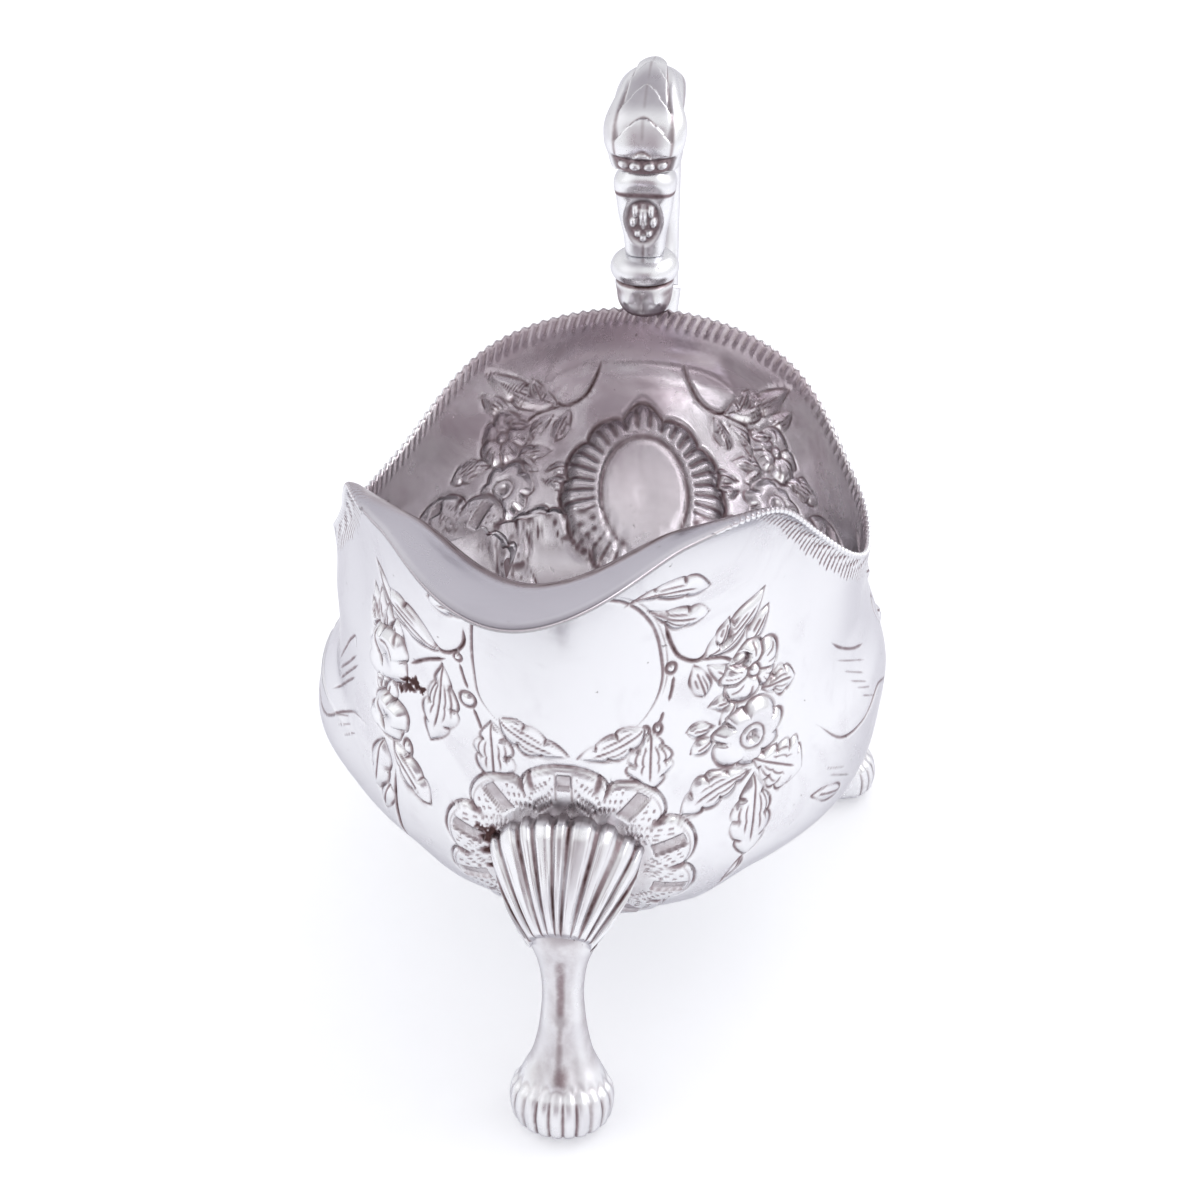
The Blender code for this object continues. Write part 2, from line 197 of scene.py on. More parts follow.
def curve_through(places):
    """A smooth line on the bowl through (degrees, height) pairs."""
    places = np.asarray(places, float)
    reach = lengths_along(on_bowl(places))
    straight = len(places) == 2
    at = np.linspace(0, reach[-1], max(3 if straight else 6, int(reach[-1] / CURVE_SPACING)))
    draw = straight_between if straight else smooth
    return on_bowl(np.stack([draw(reach, column, at) for column in places.T], -1))


def straight_between(knots, values, at):
    return np.interp(at, knots, values)


def lengths_along(points):
    """How far each point of a line lies from the line's start."""
    return np.concatenate([[0], np.cumsum(np.linalg.norm(np.diff(points, axis=0), axis=1))])


# Widths of the chased outlines, and where a leaf's side veins run: shares of the way from midrib to edge.
LEAF_LINE = 0.26
FLOWER_LINE = 0.3
VEIN_LANES = ((), (0.45,), (0.36, 0.68))


class Skin:
    """A grid of points on the bowl, the height of the relief worked into them and how dark they are."""

    RUN = 32  # points that a search passes over at once

    def __init__(self, points, normals):
        self.points = points.reshape(-1, 3)
        self.normals = normals.reshape(-1, 3)
        self.height = np.zeros(len(self.points))
        self.dark = np.zeros(len(self.points))
        runs = self.points.reshape(-1, self.RUN, 3)
        self.run_low = runs.min(axis=1)
        self.run_high = runs.max(axis=1)

    def near(self, places, reach):
        """The points within a reach of some places."""
        low = places.min(axis=0) - reach
        high = places.max(axis=0) + reach
        runs = np.flatnonzero(np.all((self.run_high > low) & (self.run_low < high), axis=1))
        at = (runs[:, None] * self.RUN + np.arange(self.RUN)).ravel()
        inside = np.all((self.points[at] > low) & (self.points[at] < high), axis=1)
        return at[inside]

    def patch(self, place, reach):
        """The points near a place, as offsets across and up the surface there."""
        centre = on_bowl([place])[0]
        at = self.near(centre[None], reach)
        offset = self.points[at] - centre
        normal = self.normals[at[np.argmin((offset**2).sum(axis=1))]]
        across = unit(np.cross((0.0, 0.0, 1.0), normal))
        up = np.cross(normal, across)
        return at, offset @ across, offset @ up

    def work(self, at, height, dark, cover=0.0):
        """Adds relief at some points. Cover is how far it hides the relief already there."""
        self.height[at] = self.height[at] * (1 - cover) + height
        self.dark[at] = np.maximum(self.dark[at] * (1 - cover), dark)

    def chase(self, places, width, depth=0.3, dark=0.9):
        """A groove through (degrees, height) pairs that thins out at both ends."""
        path = curve_through(places)
        at = self.near(path, 1.6 * width)
        steps = np.diff(path, axis=0)
        offset = self.points[at][:, None, :] - path[None, :-1]
        share = np.clip((offset * steps).sum(-1) / (steps**2).sum(-1), 0, 1)
        away = ((offset - share[..., None] * steps) ** 2).sum(-1)
        nearest = away.argmin(axis=1)
        rows = np.arange(len(at))
        along = (nearest + share[rows, nearest]) / len(steps)
        distance = np.sqrt(away[rows, nearest])
        thin = np.clip(6 * np.minimum(along, 1 - along), 0.15, 1) ** 0.5
        mark = bell(distance, 0.55 * width * thin) * thin
        self.work(at, -depth * mark, dark * mark)


def edge_marks(inside, line, rise, plump):
    """The dome behind an outline and the groove along it, from the distance inside the outline."""
    dome = rise * (1 - bell(np.maximum(inside, 0), plump))
    return dome, bell(inside, line)


def leaf(skin, base, tip, width, lobes=0, veins=2, fullest=0.75, bend=0.0, rise=0.6, depth=0.26, way=1):
    """A raised leaf from its base to its tip, outlined and lobed, with a midrib and side veins."""
    start, end = on_bowl([base, tip])
    length = np.linalg.norm(end - start)
    middle = tuple((np.array(base) + np.array(tip)) / 2)
    at, across, up = skin.patch(middle, length / 2 + width)
    first = np.argmin(((skin.points[at] - start) ** 2).sum(axis=1))
    last = np.argmin(((skin.points[at] - end) ** 2).sum(axis=1))
    axis = np.array([across[last] - across[first], up[last] - up[first]])
    length = np.linalg.norm(axis)
    axis = axis / length
    dx = across - across[first]
    dy = up - up[first]
    along = (dx * axis[0] + dy * axis[1]) / length
    side = dy * axis[0] - dx * axis[1]
    side = side - way * bend * length * 4 * along * (1 - along)
    share = np.clip(along, 0, 1)
    half = width / 2 * np.sin(np.pi * share**fullest) ** 0.8
    sway = base[0] * 1.7 + base[1]
    half = half * (1 + 0.05 * np.sin(11 * share + sway + np.sign(side)))
    notch = np.zeros_like(share)
    if lobes:
        wave = np.abs(np.sin(np.pi * lobes * share + 0.25 * np.sign(side)))
        half = half * (0.74 + 0.26 * wave**0.45)
        notch = (1 - wave) ** 4
    overrun = (along - share) * length
    inside = np.where(overrun == 0, half - np.abs(side), -np.hypot(np.abs(side), overrun))
    dome, groove = edge_marks(inside, LEAF_LINE, rise, 0.9)
    groove = groove * (0.70 + 0.30 * np.sin(9 * share + sway * 2 + 2 * np.sign(side)))
    mid = bell(side, 0.8 * LEAF_LINE) * ramp(along, 0.0, 0.05) * ramp(along, 0.84, 0.7) * (inside > 0)
    share_out = np.abs(side) / np.maximum(half, 0.1)
    comma = notch * ramp(share_out, 0.45, 0.8) * (inside > 0)
    starts = 0.2 + 0.1 * np.sin(sway + 2 * np.sign(side))
    vein = np.zeros_like(share)
    for lane in VEIN_LANES[veins]:
        stroke = bell((share_out - lane) * half, 0.8 * LEAF_LINE)
        ends = 0.82 - 0.3 * lane
        vein = np.maximum(vein, stroke * ramp(along, starts, starts + 0.1) * ramp(along, ends, ends - 0.12))
    cut = depth * (groove + 0.75 * mid + 0.5 * vein + 0.8 * comma)
    dark = np.maximum.reduce([0.68 * groove, 0.68 * mid, 0.55 * vein, 0.85 * comma])
    skin.work(at, dome - cut, dark, ramp(inside, -0.5, 0.1))


def flower(skin, place, radius, petals, turn, boss=0.0, rise=1.25, gap_from=0.9, streaks=0.0):
    """A raised flower: uneven petals round a boss, parted by lines that start at a share of its radius."""
    at, across, up = skin.patch(place, radius * 1.35)
    out = np.hypot(across, up)
    angle = np.arctan2(up, across) - turn
    angle = angle + 0.16 * np.sin(2 * angle + place[0]) + 0.07 * np.sin(3 * angle + place[1])
    lobe = np.abs(np.cos(petals * angle / 2))
    sway = np.sin(2 * angle + place[0])
    edge = radius * (0.78 + 0.22 * lobe**0.5) * (1 + 0.09 * sway + 0.03 * np.sin(7 * angle))
    inside = edge - out
    dome, groove = edge_marks(inside, FLOWER_LINE * (0.9 + 0.25 * sway), rise, 1.1)
    share = np.clip(out / edge, 0, 1)
    dome = dome * (0.55 + 0.45 * np.sin(np.pi * share**1.4))
    gap_angle = np.abs((petals * angle / np.pi + 1) % 2 - 1)
    between = (1 - gap_angle) * np.pi / petals * out
    inner = boss * radius
    gap = bell(between, FLOWER_LINE) * (out > inner) * (inside > 0)
    gap *= ramp(share, gap_from - 0.1, gap_from + 0.1)
    streak = np.abs(np.sin(petals * angle * 1.5)) ** 12 * ramp(share, 0.42, 0.5) * ramp(share, 0.92, 0.84)
    ring = bell(out - inner, FLOWER_LINE) * (boss > 0)
    centre = 0.5 * rise * np.clip(1 - (out / max(inner, 0.1)) ** 2, 0, 1)
    cut = 0.3 * (groove + 0.8 * gap + ring + streaks * streak)
    groove = groove * (0.72 + 0.28 * np.sin(5 * angle + place[0]))
    dark = np.maximum.reduce([0.7 * groove, 0.62 * gap, 0.6 * ring, streaks * streak])
    skin.work(at, dome + centre - cut, dark, ramp(inside, -0.5, 0.1))


def rose(skin, place, radius, turn=0.0):
    """A full round flower: shallow petals round a ringed, hollow heart."""
    flower(skin, place, radius, 7, turn, rise=1.15, gap_from=0.8)
    rings = ((0.23, 0.42, -0.3, 0.0), (0.34, 0.24, 0.2, 0.5), (0.10, 0.45, 0.35, 0.3))
    for share, width, depth, dark in rings:
        at, across, up = skin.patch(place, share * radius + 2 * width)
        mark = bell(np.hypot(across, up) - share * radius, width)
        skin.work(at, -depth * mark, dark * mark)


def berry(skin, place, radius, stretch):
    at, across, up = skin.patch(place, 2 * radius * max(1, stretch))
    out = np.hypot(across, up / stretch)
    dome, groove = edge_marks(radius - out, 0.28, 0.5, 0.7)
    skin.work(at, dome - 0.25 * groove, 0.75 * groove, ramp(radius - out, -0.4, 0.0))


def leaves(skin, rows, middle=(0.0, 0.0), way=1):
    """Leaves from rows of root, tip, width and the rest of what leaf() takes. Way -1 is a mirror image."""
    for base, tip, *shape in rows:
        ends = [(middle[0] + way * degrees, middle[1] + height) for degrees, height in (base, tip)]
        leaf(skin, *ends, *shape, way=way)


def spray(skin, middle, way, rear=False):
    """A spray of two flowers, buds and leaves beside a cartouche, opening away from it.

    Places are degrees and millimetres from the spray's middle. Way is 1 or -1, its direction round the bowl.
    """

    def at(degrees, height):
        return (middle[0] + way * degrees, middle[1] + height)

    skin.chase([at(-19.5, 24.6), at(-17.9, 20.3), at(-16.1, 17.7), at(-11.9, 16.2), at(-8.9, 18.6)], 0.6)
    skin.chase([at(-11.9, 16.2), at(-6.0, 15.0), at(-2.0, 12.0)], 0.5)
    leaves(skin, SPRAY_TOP, middle, way)
    flower(skin, at(0.6, 11.4), 5.3, 5, 0.5, 0.2, 1.0, 0.0, 0.5)
    leaves(skin, SPRAY_MIDDLE, middle, way)
    rose(skin, at(0.2, 0.4), 6.0, 0.2)
    leaves(skin, SPRAY_FOOT, middle, way)
    if not rear:
        leaves(skin, SPRAY_TAIL, middle, way)
        skin.chase([at(-0.6, -25.0), at(-2.4, -29.4), at(-6.0, -34.0)], 0.5)


SPRAY_TOP = (
    ((-10.5, 16.4), (3.6, 24.4), 5.2, 2, 2, 0.75, -0.05),
    ((-7.6, 17.6), (-5.8, 22.0), 2.6, 0, 1),
    ((-0.4, 16.0), (5.2, 20.8), 3.4, 0, 1),
    ((-1.0, 9.0), (-10.0, 14.6), 3.4, 2, 1),
    ((-1.6, 7.6), (-9.4, 7.2), 3.6, 2, 1),
    ((-3.0, 6.6), (-6.6, 3.4), 2.4, 0, 0),
)
SPRAY_MIDDLE = (
    ((-0.6, 14.2), (-5.0, 13.4), 1.9, 0, 0, 0.75, 0, 0.9),
    ((3.5, 7.0), (13.4, 6.4), 5.0, 3, 2, 1.2, 0.06),
    ((-10.2, 9.4), (-13.2, 15.4), 3.2, 0, 1, 0.7),
    ((-8.0, 3.4), (-13.9, 3.6), 2.9, 0, 0, 1.3),
    ((-7.6, 1.6), (-13.0, -0.6), 2.9, 0, 0, 1.3),
)
SPRAY_FOOT = (
    ((0.8, -4.2), (14.0, -9.4), 9.0, 5, 2, 1.5),
    ((0.6, -6.2), (-15.0, -11.0), 6.6, 4, 2, 1.15, -0.10),
    ((1.8, -7.0), (0.6, -22.4), 7.6, 4, 2, 1.15),
)
SPRAY_TAIL = (((0.2, -22.6), (-2.6, -29.4), 1.5, 0, 0, 0.9),)


def left_spray(skin):
    """The spray left of the front cartouche: a tulip, a bud, a lobed leaf and plain leaves."""
    skin.chase([(-17.9, 83.4), (-18.6, 80.2), (-20.7, 78.3), (-24.7, 77.2), (-27.6, 79.4)], 0.6)
    skin.chase([(-23.6, 76.0), (-29.4, 74.0), (-34.4, 71.6)], 0.55)
    leaves(skin, LEFT_SPRAY_TOP)
    for k, tip in enumerate(((-49.4, 77.8), (-47.4, 81.0), (-44.2, 81.2), (-41.0, 79.6))):
        leaf(skin, (-45.0 + 1.3 * k, 71.0), tip, 3.1, 0, 0, 1.0)
    leaf(skin, (-38.6, 71.6), (-38.0, 78.2), 3.2, 0, 0, 1.1)
    flower(skin, (-42.4, 70.6), 5.5, 4, 0.9)
    for path in ([(-37.6, 73.4), (-39.8, 75.6), (-42.4, 75.2)], [(-38.8, 70.8), (-40.6, 73.2), (-43.4, 73.0)],
                 [(-45.4, 74.6), (-44.6, 71.4), (-42.2, 68.6)]):
        skin.chase(path, 0.45, 0.24, 0.6)
    leaf(skin, (-24.7, 74.8), (-29.8, 59.6), 6.6, 4, 2, 1.25, 0.05)
    for degrees in (-46.4, -43.6, -40.6):
        leaf(skin, (-42.8, 61.0), (degrees, 67.0), 2.9, 0, 0, 1.2)
    flower(skin, (-42.8, 59.8), 4.5, 4, 0.4)
    for path in ([(-40.0, 62.6), (-41.6, 64.0), (-43.6, 63.0)],
                 [(-44.8, 62.4), (-44.0, 59.8), (-42.0, 57.6)]):
        skin.chase(path, 0.45, 0.24, 0.6)
    berry(skin, (-36.8, 56.0), 0.9, 1.5)
    leaves(skin, LEFT_SPRAY_FOOT)
    skin.chase([(-41.2, 50.4), (-42.4, 43.0), (-42.8, 36.6), (-40.2, 30.0)], 0.65)
    stains(skin, ((-35.8, 67.3, 1.3), (-33.4, 68.6, 1.2), (-31.4, 68.0, 0.8), (-38.0, 66.2, 0.8)))


LEFT_SPRAY_TOP = (
    ((-25.2, 77.0), (-44.0, 81.6), 5.6, 2, 2, 0.9, -0.05),
    ((-38.6, 79.4), (-45.4, 85.6), 2.0, 0, 0),
)
LEFT_SPRAY_FOOT = (
    ((-41.6, 55.8), (-30.8, 47.5), 5.4, 3, 1, 1.1, 0, 0.8),
    ((-44.8, 54.8), (-47.9, 44.4), 5.2, 2, 0, 0.9, 0, 0.8),
    ((-43.8, 46.6), (-47.0, 40.8), 3.0, 0, 0),
)


def stains(skin, rows):
    """Ragged black spots of old tarnish, from rows of degrees, height and size."""
    for degrees, height, size in rows:
        at, across, up = skin.patch((degrees, height), 2.6 * size)
        turn = np.arctan2(up, across)
        ragged = 1 + 0.3 * np.sin(3 * turn + degrees) + 0.2 * np.sin(7 * turn + 2 * height)
        mark = ramp(np.hypot(across, 1.2 * up) / (size * ragged), 1.25, 0.75)
        skin.work(at, -0.12 * mark, mark)


def front_cartouche(skin):
    """The plain round cartouche under the lip, the sprigs below it and the leaves beside its top."""
    ring = [(12.0, 66.2), (15.4, 68.6), (18.3, 72.5), (19.3, 76.6), (18.9, 79.9), (17.2, 85.7), (14.3, 90.1),
            (9.5, 94.3), (1.2, 96.4), (-6.5, 94.3), (-12.0, 90.0), (-15.4, 85.4), (-16.6, 81.0),
            (-17.1, 75.9), (-16.3, 70.5), (-13.0, 67.4), (-10.0, 66.2)]
    skin.chase(ring, 0.5, 0.27, 0.66)
    outer = [(18.9, 71.6), (20.1, 76.0), (19.9, 80.5), (17.9, 86.4), (15.2, 90.6), (10.4, 94.8)]
    skin.chase(outer, 0.35, 0.14, 0.35)
    for way, middle in ((1, 1.0), (-1, 1.4)):
        leaves(skin, CARTOUCHE_TOP_LEAVES, (middle, 0.0), way)
    for place, size, tall in (((-19.4, 69.8), 1.35, 1.0), ((-20.5, 77.3), 0.7, 1.0),
                              ((20.9, 77.7), 0.75, 1.3), ((18.7, 66.9), 0.6, 1.5), ((16.2, 66.6), 0.6, 1.5)):
        berry(skin, place, size, tall)
    for path in ([(-20.2, 76.2), (-19.6, 73.4), (-18.9, 71.7)], [(-18.3, 68.6), (-17.2, 66.0), (-16.4, 63.6)],
                 [(21.5, 76.2), (21.3, 74.0), (20.7, 71.6)], [(19.7, 69.9), (19.0, 67.6)]):
        skin.chase(path, 0.5, 0.22, 0.75)
    leaves(skin, CARTOUCHE_SPRIGS)


CARTOUCHE_TOP_LEAVES = (
    ((11.0, 92.0), (26.6, 91.4), 4.6, 3, 1, 1.6, 0.10),
    ((14.8, 89.6), (27.0, 86.6), 4.4, 3, 1, 1.6, -0.10),
)
CARTOUCHE_SPRIGS = (
    ((-14.3, 66.8), (-14.3, 54.2), 6.8, 4, 2, 1.05),
    ((17.3, 66.4), (17.0, 55.4), 7.0, 4, 2, 1.05),
    ((-12.4, 67.6), (1.2, 62.6), 5.6, 3, 1, 0.75, -0.06, 0.45),
    ((15.9, 67.2), (3.0, 62.2), 5.2, 3, 1, 0.75, 0.06, 0.45),
)


ROSETTE_HEIGHT = 41.0
ROSETTE_RADIUS = 19.4
ROSETTE_TOP = 22.0  # the lobe at the top is wider than the rest: its half angle
ROSETTE_LOBE = 35.11  # angle of each other lobe


def shell_rosette(skin, degrees):
    """The lobed shell the bowl carries behind a knee: domed lobes, slots, a hollow ring and matting."""
    at, across, up = skin.patch((degrees, ROSETTE_HEIGHT), ROSETTE_RADIUS * 1.15)
    out = np.hypot(across, up)
    angle = np.abs(np.degrees(np.arctan2(across, up)))
    at_top = angle < ROSETTE_TOP
    lobe_at = np.where(at_top, angle / (2 * ROSETTE_TOP), 0.5 + (angle - ROSETTE_TOP) / ROSETTE_LOBE)
    lobe = np.abs(np.cos(np.pi * lobe_at))
    edge = ROSETTE_RADIUS * (0.87 + 0.13 * lobe**0.55)
    inside = edge - out
    dome, groove = edge_marks(inside, 0.23, 0.6, 0.85)
    second = bell(inside - 0.95, 0.22)
    moat = bell(out - 0.585 * ROSETTE_RADIUS, 1.9)
    off_lobe = (lobe_at - np.round(lobe_at)) * np.where(at_top, 2 * ROSETTE_TOP, ROSETTE_LOBE)
    off_lobe = np.abs(np.radians(off_lobe))
    beside = off_lobe * out
    share = out / edge
    slot = ramp(beside, 1.3, 0.85) * ramp(share, np.where(at_top, 0.80, 0.67), np.where(at_top, 0.82, 0.69))
    slot *= ramp(share, 0.94, 0.92)
    slot_edge = bell(beside - 1.2, 0.22) * ramp(share, 0.67, 0.7) * ramp(share, 0.96, 0.93)
    gap = bell(np.abs(off_lobe - np.radians(17)) * out, 0.5)
    gap *= np.clip((share - 0.8) / 0.1, 0, 1) * (inside > 0)
    dash = np.sin(out * 3.1 + 4 * np.sin(angle * 0.23)) * np.sin(np.radians(angle) * 71 + 0.6 * np.sin(out))
    matting = np.clip(dash * 1.8 - 0.25, 0, 1) * (beside > 1.6) * (inside > 1.7) * (share > 0.62)
    hatch = bell(np.sin(np.radians(angle) * 95 + 1.3 * np.sin(out * 0.9)), 0.35)
    hatch *= ramp(share, 0.60, 0.66) * ramp(share, 0.80, 0.72) * (inside > 0) * ramp(beside, 1.4, 1.8)
    cut = 0.4 * groove + 0.12 * second + 0.65 * moat + 0.5 * slot + 0.25 * gap + 0.14 * matting + 0.1 * hatch
    worn = 0.72 + 0.28 * np.sin(0.31 * angle + 2.1 * np.sin(0.17 * angle) + degrees)
    dark = np.maximum.reduce([0.8 * groove * worn, 0.3 * second, 0.22 * moat, 0.32 * slot, 0.42 * slot_edge,
                              0.65 * gap, 0.45 * matting, 0.35 * hatch])
    skin.work(at, dome - cut, dark, ramp(inside, -0.4, 0.1))


def rear_cartouche(skin):
    """The oval cartouche under the handle: a plain middle, a fluted border and a scalloped edge."""
    at, across, up = skin.patch((180.0, 53.5), 22.0)
    angle = np.arctan2(across / 15.2, up / 17.6)
    outer = np.hypot(across / 15.2, up / 17.6)
    inner = np.hypot(across / 7.4, up / 11.4)
    scallop = np.abs(np.cos(6 * angle))
    edge = 0.92 + 0.08 * scallop**0.6 + 0.10 * bell(angle, 0.16)
    inside = (edge - outer) * 16
    dome, groove = edge_marks(inside, 0.45, 1.3, 1.5)
    flute = 0.5 + 0.5 * np.cos(36 * angle)
    border = np.clip((inner - 1.12) / 0.15, 0, 1) * np.clip(inside / 0.8, 0, 1)
    ring = bell((inner - 1.06) * 9, 0.6)
    bed = np.clip(1.12 - inner, 0, 1) ** 0.5 * 0.9
    cut = 0.45 * groove + 0.55 * (1 - flute) ** 1.5 * border + 0.5 * ring
    dark = np.maximum.reduce([0.8 * groove, 0.6 * (1 - flute) ** 3 * border, 0.5 * ring])
    skin.work(at, dome - bed - cut, dark)


# The lines and the shorter hatching on each flank, as degrees from the lip and heights.
FLANK_LINES = {
    1: ([(67.1, 68.2), (70.5, 66.2), (74.4, 64.4), (80.2, 62.2), (86.0, 60.6)],
        [(58.0, 57.6), (66.7, 52.1), (76.0, 51.2), (86.0, 52.8), (97.0, 50.0), (106.0, 51.5)]),
    -1: ([(52.5, 54.5), (58.0, 54.0), (64.1, 51.6), (74.0, 47.0), (86.0, 47.6), (97.0, 49.0), (106.0, 51.5)],
         [(58.6, 65.6), (59.4, 66.9), (62.5, 65.4), (67.4, 61.7), (74.0, 57.0)],
         [(58.3, 64.2), (64.0, 60.6), (72.5, 55.9)], [(57.2, 62.9), (63.0, 59.4), (71.3, 54.5)],
         [(58.6, 60.2), (65.0, 56.6), (73.1, 51.8)]),
}
FLANK_HATCHING = {
    1: (((69.0, 64.4), (84.0, 58.6)), ((72.0, 61.4), (81.0, 57.6)), ((73.5, 59.2), (81.0, 56.0)),
        ((75.5, 57.2), (82.0, 54.6)), ((77.0, 55.2), (83.0, 52.6)), ((60.7, 48.8), (69.6, 45.3)),
        ((62.1, 47.0), (73.2, 42.0))),
    -1: (((60.7, 52.3), (68.0, 49.6)), ((59.4, 51.4), (66.0, 48.6)), ((57.0, 50.8), (63.0, 48.0))),
}
FLANK_CURL = ((106.0, 51.5), (110.4, 55.0), (108.4, 59.4), (104.0, 58.6), (104.6, 55.6))
FLANK_LEAVES = (
    ((112.0, 62.0), (122.0, 60.0), 4.2, 3, 1),
    ((111.0, 55.0), (119.0, 49.5), 4.2, 3, 1),
    ((110.0, 64.5), (119.0, 67.0), 3.6, 0, 1),
)


def side_scroll(skin, way):
    """The scroll panel on each flank, with chased lines and hatching that differ left and right."""
    if way > 0:
        leaf(skin, (68.8, 41.4), (56.6, 45.2), 2.8, 0, 0, rise=0.3, depth=0.16)
    for paths, *cut in ((FLANK_LINES[way], 0.5, 0.22, 0.55), (FLANK_HATCHING[way], 0.34, 0.13, 0.36),
                        ((FLANK_CURL,), 0.62, 0.3, 0.65)):
        for path in paths:
            skin.chase([(way * degrees, height) for degrees, height in path], *cut)
    leaves(skin, FLANK_LEAVES, way=way)


def work_the_bowl(skin):
    front_cartouche(skin)
    spray(skin, (38.6, 61.8), 1)
    left_spray(skin)
    for way in (1, -1):
        side_scroll(skin, way)
        spray(skin, (way * 152.6, 56.5), -way, rear=True)
    for stands in (0.0, 136.0, -136.0):
        shell_rosette(skin, stands)
    stains(skin, ((-15.6, 45.4, 1.9), (-14.2, 42.6, 2.2), (-18.0, 46.8, 1.0), (-14.8, 39.4, 1.6)))
    rear_cartouche(skin)
    arch = [(160.5, 76.5), (166.0, 79.6), (174.0, 80.4), (186.0, 80.4), (194.0, 79.6), (199.5, 76.5)]
    skin.chase(arch, 3.2, 0.6, 0.1)


def rim_work(skin, below_rim, along_rim, degrees, inner):
    """Slanting strokes under the rim outside, a notched edge, and a painted shade line inside the lip where
    its inner face turns out of sight from the camera.
    """
    off_lip = ramp(np.abs(degrees), 20, 30)
    uneven = 0.5 * np.sin(along_rim * 2.1) + 0.5 * np.sin(along_rim * 0.73)
    length = 3.9 + 0.5 * uneven
    band = ramp(below_rim, 0.3, 0.8) * ramp(below_rim, length + 0.9, length - 0.2)
    wave = np.cos(2 * np.pi * (along_rim + 0.30 * below_rim + 0.05 * uneven) / 1.45)
    stroke = np.clip(wave - 0.2, 0, 1) ** 0.7 * band * off_lip * ~inner
    lobe = np.cos(2 * np.pi * (along_rim - 0.45 * below_rim) / 1.8)
    lip_band = ramp(below_rim, 2.7, 1.7) * off_lip
    notch = np.clip(-lobe - 0.15, 0, 1) * lip_band * np.where(inner, 1.0, 0.45)
    # Painted shade: a dark line inside the lip, laid where its inner face turns out of sight from the camera.
    throat_at = 6.1 + 8.5 * bell(degrees + 4, 13)
    throat_shade = bell(below_rim - throat_at, 1.2) * inner * ramp(np.abs(degrees), 36, 28)
    skin.height -= (0.2 * stroke + 0.42 * notch).ravel()
    skin.dark = np.maximum(skin.dark, (0.84 * stroke + 0.5 * notch * inner + 0.95 * throat_shade).ravel())
    return off_lip * lobe


def flank_swell(degrees, height):
    """How far the flanks stand out of the plain bowl: a keel on the left, a shallow wave on the right."""
    wide = ramp(np.abs(degrees), 30, 48) * ramp(np.abs(degrees), 116, 98)
    narrow = np.exp(-np.abs((np.abs(degrees) - 90) / 27) ** 3)
    share = narrow + (wide - narrow) * ramp(height, FLANK_LOW + 4, FLANK_LOW)
    share = np.where(height < FLANK_LOW, wide, share)
    left, right = (np.interp(height, *zip(*flank)) for flank in (LEFT_FLANK, RIGHT_FLANK))
    return box_blur(np.where(degrees < 0, left, right) * share, 7, 7)


def box_blur(field, rows, columns):
    """The mean of a field over a window. Columns run round the bowl."""
    padded = np.pad(field, ((rows, rows), (0, 0)), mode="edge")
    padded = np.pad(padded, ((0, 0), (columns, columns)), mode="wrap")
    total = np.pad(padded.cumsum(axis=0).cumsum(axis=1), ((1, 0), (1, 0)))
    high, wide = 2 * rows + 1, 2 * columns + 1
    window = total[high:, wide:] - total[:-high, wide:] - total[high:, :-wide] + total[:-high, :-wide]
    return window / (high * wide)


def bowl_rows():
    """Each row's level, how deep it lies under the outer surface and how far it bulges past the rim."""
    rows = [(level, 0.0, 0.0) for level in np.linspace(FIRST_LEVEL, 1, OUTER_BOTTOM_ROWS + 1)[:-1]]
    rows += [(level, 0.0, 0.0) for level in np.linspace(1, 2, OUTER_WALL_ROWS + 1)]
    for turn in np.linspace(0, np.pi, RIM_ROWS + 1)[1:-1]:
        rows.append((2.0, WALL * (1 - math.cos(turn)) / 2, RIM_BULGE * math.sin(turn)))
    rows += [(level, WALL, 0.0) for level in np.linspace(2, 1, INNER_WALL_ROWS + 1)]
    rows += [(level, WALL, 0.0) for level in np.linspace(1, FIRST_LEVEL, INNER_BOTTOM_ROWS + 1)[1:]]
    return [np.array(column)[:, None] for column in zip(*rows)]


def bowl_relief():
    """The bowl's fine grid: points, relief, darkness, and a mark: 0 outside, 1 inside, 2 in the lip."""
    turn = np.arange(COLUMNS) / COLUMNS * 2 * np.pi - np.pi
    angle = (turn - COLUMN_CROWDING / 2 * np.sin(2 * turn))[None, :]
    level, depth, bulge = bowl_rows()
    shape = (len(level), COLUMNS)
    angle = np.broadcast_to(angle, shape)
    flat_level = np.broadcast_to(level, shape)
    points = bowl_point(angle, flat_level)
    step = 1e-3
    around = bowl_point(angle + step, flat_level) - bowl_point(angle - step, flat_level)
    upward = bowl_point(angle, flat_level + step) - bowl_point(angle, flat_level - step)
    normals = unit(np.cross(around, upward))
    upward = unit(upward)
    skin = Skin(points, normals)
    work_the_bowl(skin)
    inner = np.broadcast_to(depth > WALL / 2, shape)
    rim_row = OUTER_BOTTOM_ROWS + OUTER_WALL_ROWS
    below_rim = distance_from_row(points, rim_row)
    rim_steps = np.linalg.norm(np.diff(points[rim_row], axis=0, append=points[rim_row][:1]), axis=1)
    along_rim = np.broadcast_to(np.cumsum(rim_steps) - rim_steps, shape)
    degrees = np.degrees(angle)
    edge = rim_work(skin, below_rim, along_rim, degrees, inner)
    height = skin.height.reshape(shape) + flank_swell(degrees, points[..., 2])
    height = np.where(inner, box_blur(height, 2, 2), height)
    cavity = np.clip((box_blur(height, 5, 5) - height) / 0.3, 0, 1)
    dark = np.maximum(skin.dark.reshape(shape), 0.42 * cavity)
    fade = np.clip(flat_level / 0.2, 0, 1)
    moved = points + normals * (height * fade - depth)[..., None]
    moved += upward * (bulge + 0.2 * edge * ramp(below_rim, 0.8, 0.0))[..., None]
    on_lip = ramp(np.abs(degrees), 66, 44) * ramp(flat_level, 1.35, 1.6)
    return moved, height, dark, inner * (1 + on_lip)


